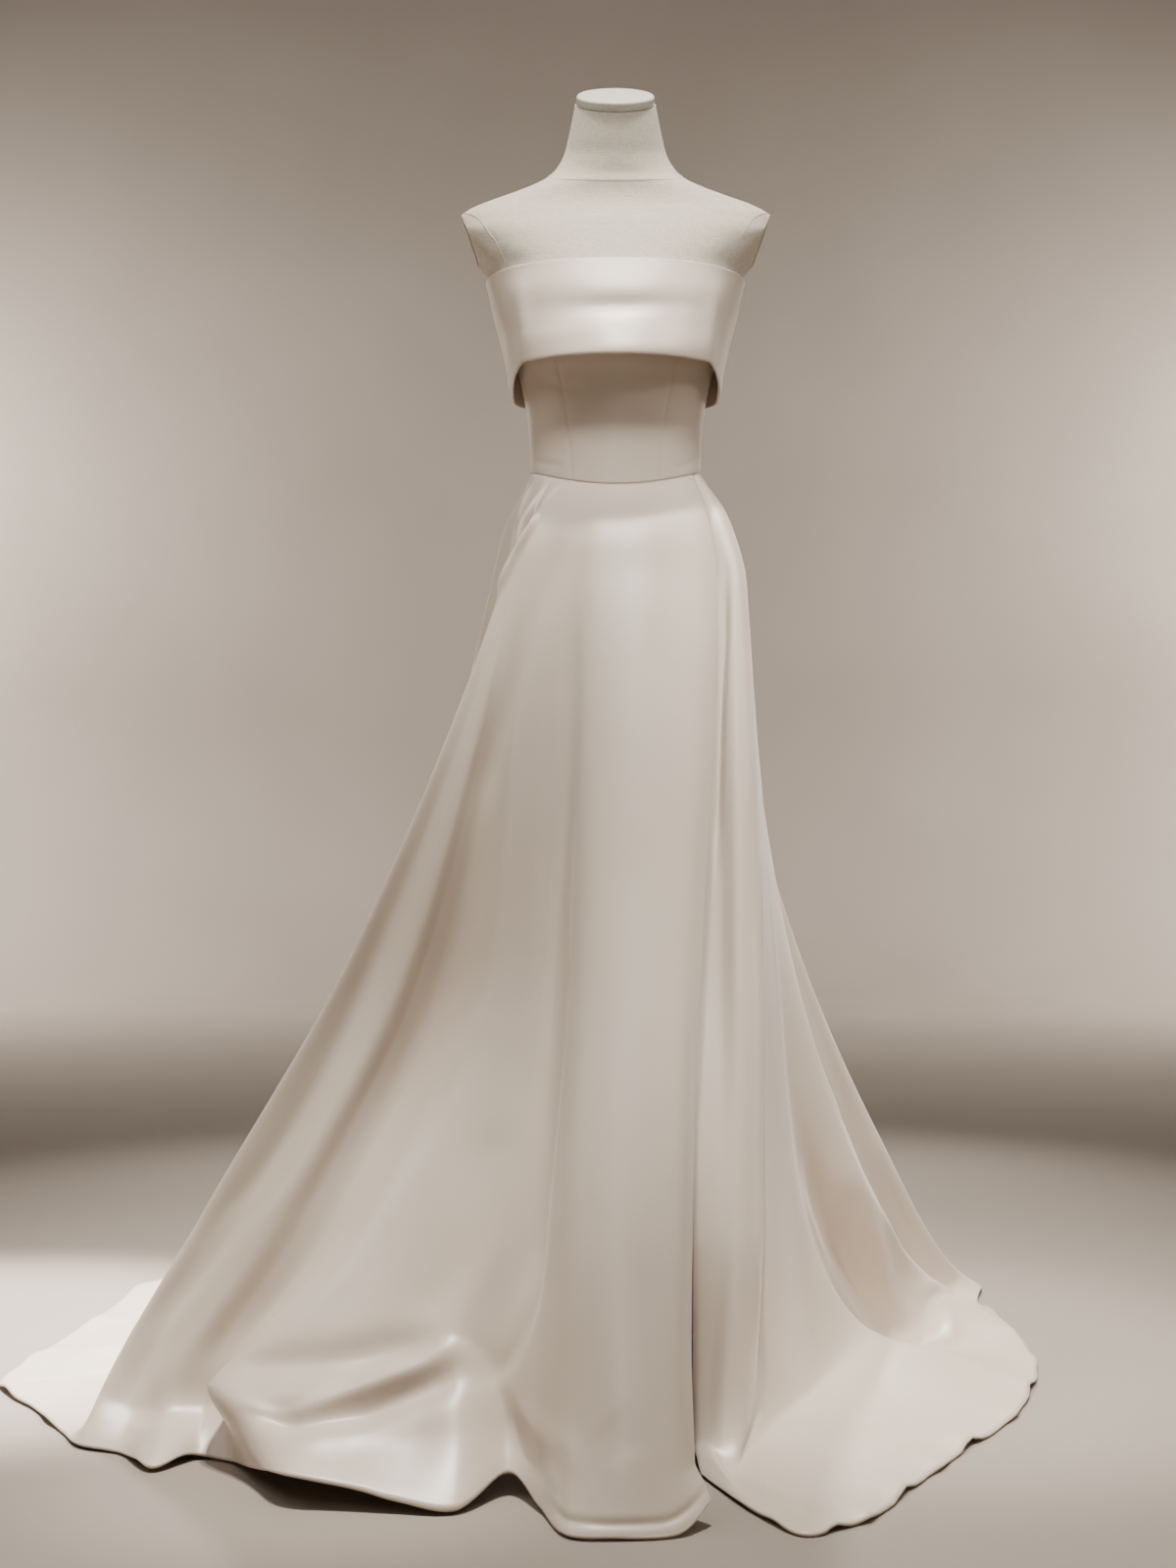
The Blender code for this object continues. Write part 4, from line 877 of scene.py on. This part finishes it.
# mm: name, width, depth (minus is a trough, plus a ridge), then places along the crease
skirtCreases = (
    ("mainRim", 6, 6, ((-88, -90, 1100), (-106, -96, 1068), (-124, -94, 1040), (-138, -94, 1010),
        (-150, -84, 980))),
    ("rimGap", 6, -8, ((-98, -82, 1102), (-116, -88, 1070), (-132, -84, 1044), (-146, -70, 1012))),
    ("pleatRidgeOne", 4, 4.5, ((-104, -38, 1134), (-114, -38, 1118), (-122, -40, 1092), (-126, -70, 1058))),
    ("pleatGapOne", 3.5, -4.5, ((-84, -66, 1128), (-98, -76, 1110), (-108, -86, 1086), (-118, -90, 1062))),
    ("pleatRidgeTwo", 3.5, 2.5, ((-70, -76, 1126), (-82, -80, 1114), (-94, -86, 1100))),
    ("rimValley", 18, -5, ((-66, -108, 1090), (-74, -128, 1042), (-88, -136, 992), (-104, -142, 944),
        (-118, -146, 896), (-136, -146, 836), (-158, -148, 764), (-180, -158, 694))),
    ("frontStep", 16, -2, ((-50, -160, 980), (-50, -190, 870), (-52, -232, 728), (-58, -272, 588),
        (-66, -330, 450))),
    ("frontCreaseLine", 14, -6, ((-58, -272, 588), (-68, -346, 422), (-78, -390, 328), (-88, -428, 248),
        (-98, -460, 184), (-118, -466, 136), (-144, -468, 114), (-176, -488, 102))),
    ("leftValley", 14, -3, ((-266, -168, 634), (-306, -190, 506), (-358, -214, 392), (-418, -228, 300),
        (-480, -242, 228), (-506, -256, 178), (-538, -268, 136), (-580, -288, 82))),
    ("secondRidge", 16, 3, ((-234, -192, 576), (-268, -214, 474), (-324, -240, 372), (-378, -262, 286),
        (-452, -270, 200), (-490, -278, 150), (-536, -280, 104), (-580, -300, 62))),
    ("secondValley", 21, -5, ((-190, -166, 634), (-208, -190, 518), (-266, -232, 382), (-316, -262, 294),
        (-342, -280, 242), (-374, -296, 188), (-416, -304, 138), (-460, -312, 106), (-512, -314, 88))),
    ("thirdRidge", 20, 4, ((-150, -252, 512), (-206, -260, 410), (-244, -294, 324), (-286, -336, 240),
        (-316, -362, 190), (-352, -380, 150), (-386, -394, 124))),
    ("thirdValley", 30, -4, ((-142, -322, 384), (-150, -360, 312), (-164, -392, 252), (-184, -406, 210),
        (-216, -414, 174), (-260, -412, 156))),
    ("shelfLine", 22, -9, ((-447, -394, 98), (-385, -415, 110), (-322, -429, 121), (-292, -432, 126),
        (-263, -431, 131), (-215, -442, 143), (-182, -444, 153))),
    ("shelfCrest", 7, 2.5, ((-436, -422, 84), (-412, -448, 80), (-386, -464, 78), (-352, -474, 80),
        (-320, -472, 88), (-278, -464, 102), (-236, -466, 120), (-204, -464, 132), (-180, -452, 144))),
    ("underShelf", 18, -13, ((-400, -440, 72), (-346, -488, 72), (-310, -486, 78), (-278, -482, 80),
        (-246, -482, 92), (-214, -480, 104), (-182, -474, 120), (-152, -456, 132))),
    ("hemSwell", 20, 3, ((-346, -528, 50), (-296, -506, 60), (-244, -496, 68), (-202, -502, 76),
        (-156, -492, 82))),
    ("apronWall", 32, -6, ((-448, -345, 50), (-480, -338, 50), (-520, -342, 48), (-560, -312, 42))),
    ("bellyEdge", 15, 2, ((-140, -480, 90), (-92, -536, 78), (-58, -602, 72), (-36, -648, 38))),
    ("bellyOval", 26, -1.5, ((-20, -612, 104), (-4, -626, 88), (4, -634, 70))),
    ("slitMargin", 16, -5, ((98, -280, 550), (90, -370, 400), (82, -470, 250), (78, -545, 150),
        (76, -596, 64))),
    ("tubeEdge", 7, -15, ((176, -158, 658), (175, -200, 530), (174, -232, 406), (170, -266, 296),
        (168, -294, 188), (166, -310, 100), (158, -342, 48), (148, -398, 26))),
    ("tubeEdgeShine", 8, 3, ((166, -192, 636), (166, -228, 522), (164, -262, 410), (160, -298, 302),
        (156, -334, 196), (156, -342, 108), (148, -372, 60))),
    ("tubeSlitShine", 9, 1, ((106, -226, 522), (100, -268, 410), (98, -310, 302), (94, -338, 196),
        (88, -356, 90), (90, -396, 24))),
    ("tubeLine", 6, -8, ((136, -102, 1020), (132, -120, 946), (126, -142, 848), (122, -166, 752),
        (118, -194, 636))),
    ("tubeShine", 7, 2.5, ((140, -82, 1064), (150, -104, 996), (156, -128, 898), (160, -152, 800),
        (160, -182, 694))),
    ("tubeFoot", 5, -4, ((108, -456, 16), (120, -460, 12), (132, -446, 16), (144, -416, 24),
        (152, -374, 34))),
    ("slitHemRoll", 8, 3.5, ((110, -480, 14), (136, -514, 10), (168, -568, 8), (200, -604, 6))),
    ("slitHemLine", 7, -2.5, ((138, -482, 12), (172, -518, 10), (208, -526, 10), (248, -490, 10))),
    ("trough", 15, -13, ((230, -4, 314), (240, 8, 250), (260, 30, 188), (284, 56, 134), (310, 82, 90),
        (342, 112, 46), (376, 122, 22), (418, 140, 16))),
    ("troughLip", 9, 2, ((222, -60, 274), (236, -20, 214), (262, 20, 150), (294, 50, 92), (326, 74, 50),
        (352, 84, 30), (390, 96, 16), (430, 118, 12), (450, 150, 18))),
    ("troughWall", 18, 8, ((314, 68, 202), (338, 108, 142), (358, 138, 84), (380, 146, 46), (404, 162, 28),
        (426, 170, 26))),
    ("hook", 9, 6, ((380, 100, 12), (408, 108, 12), (438, 124, 12), (456, 152, 18), (458, 186, 28),
        (442, 204, 40))),
    ("smallFold", 5, 3, ((408, 190, 64), (446, 246, 60), (480, 290, 44))),
    ("smallDip", 4, -3, ((428, 208, 48), (456, 238, 48), (486, 276, 34))),
    ("flareRidge", 9, 4, ((262, 30, 420), (286, 60, 340), (314, 90, 270), (346, 124, 200), (392, 176, 120),
        (440, 236, 70))),
    ("flareBackDip", 10, -4, ((260, 150, 400), (310, 200, 300), (352, 250, 220), (400, 310, 120),
        (450, 372, 40))),
    ("bellySoft", 30, 1.5, ((24, -148, 1040), (30, -210, 870), (22, -300, 640))),
    ("leftSideTrough", 14, -4, ((-200, -24, 800), (-286, -20, 550), (-456, -30, 250), (-590, -75, 34))),
    ("leftSideSoft", 12, -3, ((-180, 30, 900), (-276, 60, 560), (-452, 90, 256), (-600, 54, 40))),
    ("backDipOne", 16, -4, ((-196, 96, 800), (-270, 138, 550), (-440, 210, 250), (-600, 200, 30))),
    ("backSwellOne", 14, 3, ((-252, 212, 560), (-330, 272, 400), (-402, 332, 260), (-560, 372, 40))),
    ("backDipTwo", 16, -5, ((-150, 180, 760), (-208, 260, 550), (-332, 416, 250), (-455, 525, 40))),
    ("backDipThree", 15, -4, ((-96, 330, 520), (-140, 520, 240), (-185, 690, 50))),
    ("trainDip", 12, -3, ((-18, 220, 800), (-30, 325, 560), (-46, 520, 260), (-60, 700, 40))),
    ("trainSwell", 12, 3, ((30, 320, 520), (44, 520, 240), (58, 700, 40))),
    ("backDipFour", 15, -4, ((60, 220, 780), (90, 325, 560), (134, 512, 260), (175, 675, 40))),
    ("backDipFive", 14, -4, ((140, 300, 500), (212, 466, 240), (278, 610, 40))),
    ("backSwellTwo", 14, 4, ((150, 160, 760), (198, 218, 560), (302, 366, 250), (400, 510, 40))),
    ("backDipSix", 12, -4, ((238, 130, 540), (344, 262, 250), (470, 420, 40))),
    ("gatherOne", 8, -3, ((-60, 112, 1096), (-70, 140, 1000), (-84, 180, 880))),
    ("gatherTwo", 6, -2, ((-30, 112, 1092), (-34, 138, 980))),
    ("gatherThree", 7, -3, ((34, 112, 1094), (38, 142, 960))),
    ("gatherFour", 7, -2.5, ((64, 108, 1088), (78, 146, 940))),
    ("gatherFive", 9, -3, ((-98, 84, 1080), (-120, 118, 940), (-150, 150, 800))),
    ("gatherSix", 7, -2.5, ((100, 80, 1080), (120, 110, 950))),
    ("trainFoldOne", 13, 5, ((-300, 748, 6), (-336, 700, 16), (-344, 640, 36))),
    ("trainFoldTwo", 11, 4, ((122, 764, 8), (140, 704, 18), (132, 640, 40))),
    ("trainFoldThree", 13, 5, ((-660, 240, 8), (-610, 262, 14), (-556, 262, 40))),
    ("trainFoldFour", 12, 5, ((396, 606, 8), (366, 566, 20), (330, 520, 50))),
    ("trainFoldFive", 11, 4, ((-704, 36, 8), (-664, 60, 16), (-610, 82, 36))),
    ("bellyHemLine", 5, -2.5, ((-80, -610, 20), (-54, -656, 16), (-10, -665, 15), (40, -660, 16),
        (70, -642, 26), (92, -612, 44))),
    ("apronSoft", 22, 2, ((250, -420, 10), (330, -360, 10), (400, -280, 8))),
)

# mm: x, y of the hem, width, lift, and how far it is pushed outwards
hemWaves = (
    (-540, -424, 26, 4, 0), (-494, -404, 30, 7, -2), (-350, -482, 26, 4, 3), (-264, -548, 22, 6, -3),
    (-205, -566, 16, 3, 2), (150, -632, 20, 3, -3), (215, -642, 14, 5, -5), (250, -606, 14, 4, 5),
    (300, -520, 22, 6, -5), (352, -428, 20, 3, 5), (402, -342, 24, 7, -6), (470, -220, 22, 3, 5),
    (520, -100, 30, 6, -5), (552, 40, 30, 3, 4), (546, 200, 34, 7, -6), (536, 330, 26, 4, 4),
    (534, 450, 30, 3, -3), (470, 620, 36, 5, 4), (380, 716, 30, 8, -6), (230, 792, 40, 5, 5),
    (60, 824, 34, 7, -5), (-90, 822, 40, 4, 5), (-250, 804, 32, 8, -6), (-430, 750, 42, 4, 6),
    (-600, 640, 34, 7, -6), (-700, 480, 40, 4, 5), (-736, 260, 36, 7, -6), (-756, 60, 34, 4, 4),
    (-750, -110, 26, 6, -4), (-676, -240, 24, 5, 4),
)

# name, node, first fold, last fold, cut width and length, cut area
skirtPanels = (
    ("skirtFrontPanel", "skirt_front", "slitEdge", "leftSeam", (1.62, 1.45), 1.02),
    ("skirtBackRightPanel", "skirt_back_right", "leftSeam", "centreBack", (1.5, 1.5), 1.00),
    ("skirtBackLeftPanel", "skirt_back_left", "centreBack", "rightSeam", (1.05, 1.5), 0.66),
    ("skirtSidePanel", "skirt_side", "rightSeam", "slitUnder", (1.45, 1.4), 0.8),
)


def foldStations(row):
    angle = math.radians(row[1])
    values = [value * mm for value in row[2:]]
    hipX, hipY, kneeX, kneeY, shinX, shinY, footX, footY, footZ, tucked, hemX, hemY, hemZ = values
    waist = formPoints(waistHeight(angle), angle, bodice["middle"])
    waist[2] = waistHeight(angle) - skirt["halfSeam"]
    hip = np.array([hipX, hipY, skirt["hip"]])
    yoke = waist + (hip - waist) * skirt["yokeSwell"]
    yoke[2] = waist[2] + (skirt["hip"] - waist[2]) * skirt["yokeDrop"]
    foot, hem = np.array([footX, footY, footZ]), np.array([hemX, hemY, hemZ])
    tuck = (foot + hem) / 2
    tuck[:2] -= tucked * tuck[:2] / np.linalg.norm(tuck[:2])
    knee, shin = (kneeX, kneeY, skirt["knee"]), (shinX, shinY, skirt["shin"])
    return np.array([waist, yoke, hip, knee, shin, foot, tuck, hem])


def foldLine(row):
    stations = foldStations(row)
    reach = np.concatenate([[0.0], np.cumsum(np.linalg.norm(np.diff(stations, axis=0), axis=1))])
    at = [reach[0]]
    for k, count in enumerate(skirt["rowsPerStretch"]):
        at.extend(reach[k] + (reach[k + 1] - reach[k]) * np.arange(1, count + 1) / count)
    shelf = shelfDepths.get(row[0], 0) * mm
    if shelf:
        k = skirt["footStation"]
        foot = stations[k]
        turn = foot.copy()
        turn[:2] -= shelf * foot[:2] / np.linalg.norm(foot[:2])
        turn[2] += shelf * skirt["shelfRise"]
        length = np.linalg.norm(foot - turn)
        near = min(skirt["shelfRound"], length / 3)
        wall = (turn - stations[k - 1]) / np.linalg.norm(turn - stations[k - 1])
        flat = (foot - turn) / length
        added = (turn - wall * near, turn + flat * near, foot - flat * near)
        stations = np.insert(stations, k, added, axis=0)
        reach = np.insert(reach, k, reach[k] - np.array([length + near, length - near, near]))
    return steadyCurve(reach, stations, at)


def skirtSurface():
    lines = np.array([foldLine(row) for row in foldLines])
    angles = np.array([row[1] for row in foldLines], float)
    spans = np.abs(np.diff(angles))
    counts = [max(skirt["leastColumns"], math.ceil(span / skirt["degreesPerColumn"])) for span in spans]
    grid = np.swapaxes(roundCurve(lines, counts), 0, 1).copy()
    columns = np.concatenate([[0], np.cumsum(counts)])
    waistAngles = []
    for first, second, count in zip(angles, angles[1:], counts):
        waistAngles += [first + (second - first) * crowded(step / count) for step in range(count)]
    waistAngles = np.radians(np.array(waistAngles + [angles[-1]]))
    seam = formPoints(waistHeight(waistAngles), waistAngles, bodice["middle"])
    seam[:, 2] = waistHeight(waistAngles) - skirt["halfSeam"]
    shift = seam - grid[0]
    hipRow = sum(skirt["rowsPerStretch"][:2])
    for r in range(hipRow):
        grid[r] += shift * (1 - r / hipRow) ** 2
    places = dict(zip((row[0] for row in foldLines), columns))
    return grid, places


def waveHem(grid):
    run = np.linalg.norm(np.diff(grid, axis=0), axis=2)
    fromHem = np.concatenate([np.cumsum(run[::-1], axis=0)[::-1], np.zeros((1, grid.shape[1]))])
    hem = grid[-1].copy()
    outwards = hem[:, :2] / np.linalg.norm(hem[:, :2], axis=1, keepdims=True)
    for x, y, width, lift, push in hemWaves:
        near = np.exp(-(np.hypot(hem[:, 0] - x * mm, hem[:, 1] - y * mm) / (width * mm)) ** 2)
        reach = near[None, :] * np.exp(-(fromHem / (skirt["waveFade"] * width * mm)) ** 2)
        grid[:, :, 2] += lift * mm * reach
        grid[:, :, :2] += outwards[None] * (push * mm * reach)[..., None]
    return fromHem


def makeSkirt():
    grid, places = skirtSurface()
    pressCreases(grid, outwardOf(grid), skirtCreases, lambda point: np.array(point) * mm)
    fromHem = waveHem(grid)
    for name, node, first, last, flat, area in skirtPanels:
        low, high = places[first], places[last]
        cloth, hemRun = grid[:, low:high + 1], fromHem[:, low:high + 1]
        ends = np.arange(cloth.shape[1])
        at = np.sort(np.concatenate([ends, rollPlaces, ends[-1] - rollPlaces]))
        k = np.minimum(at.astype(int), ends[-1] - 1)
        part = (at - k)[None, :, None]
        cloth = cloth[:, k] * (1 - part) + cloth[:, k + 1] * part
        hemRun = hemRun[:, k] * (1 - part[..., 0]) + hemRun[:, k + 1] * part[..., 0]
        outwards = outwardOf(cloth)
        openSeams(cloth, skirt["halfSeam"])
        rollSeams(cloth, outwards, skirt["seamRoll"], skirt["seamWidth"])
        cloth[:, :, 2] = np.maximum(cloth[:, :, 2], skirt["floorGap"] + skirt["hemWall"] / 2)
        piece = gridObject(name, cloth, ivorySatin)
        turned = piece.vertex_groups.new(name="turnedHem")
        share = np.clip(skirt["hemFade"] * (1 - hemRun.reshape(-1) / skirt["hemTurned"]), 0.0, 1.0)
        for k in np.flatnonzero(share > 0):
            turned.add([int(k)], float(eased(share[k])), "REPLACE")
        thicken(piece, skirt["hemWall"], "turnedHem", skirt["wall"] / skirt["hemWall"])
        finishPiece(piece, "ivory_satin", node)


# The whole scene

setCamera()
setLights()
print("camera and lights are set")

ivorySatin = makeSatin()
creamLinen = makeLinen()
capLinen = makeLinen("capLinen", linen["capLight"], linen["capDeep"])
seamLinen = makeLinen("seamLinen", linen["seamLight"], linen["seamDeep"])
greyPowderCoat = makeSteel()
makeStudio()
print("finishes and the studio floor are made")

makeTorso()
makeFormSeams()
makeArmPlates()
makeNeckCap()
for nodeName in ("pole_flange", "stand_pole", "floor_base"):
    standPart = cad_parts[nodeName]
    standPart.data.materials.clear()
    standPart.data.materials.append(greyPowderCoat)
print("the dress form is made")

makeBodice()
makeBand()
print("the bodice and its band are made")

makeSkirt()
print("the skirt is made")
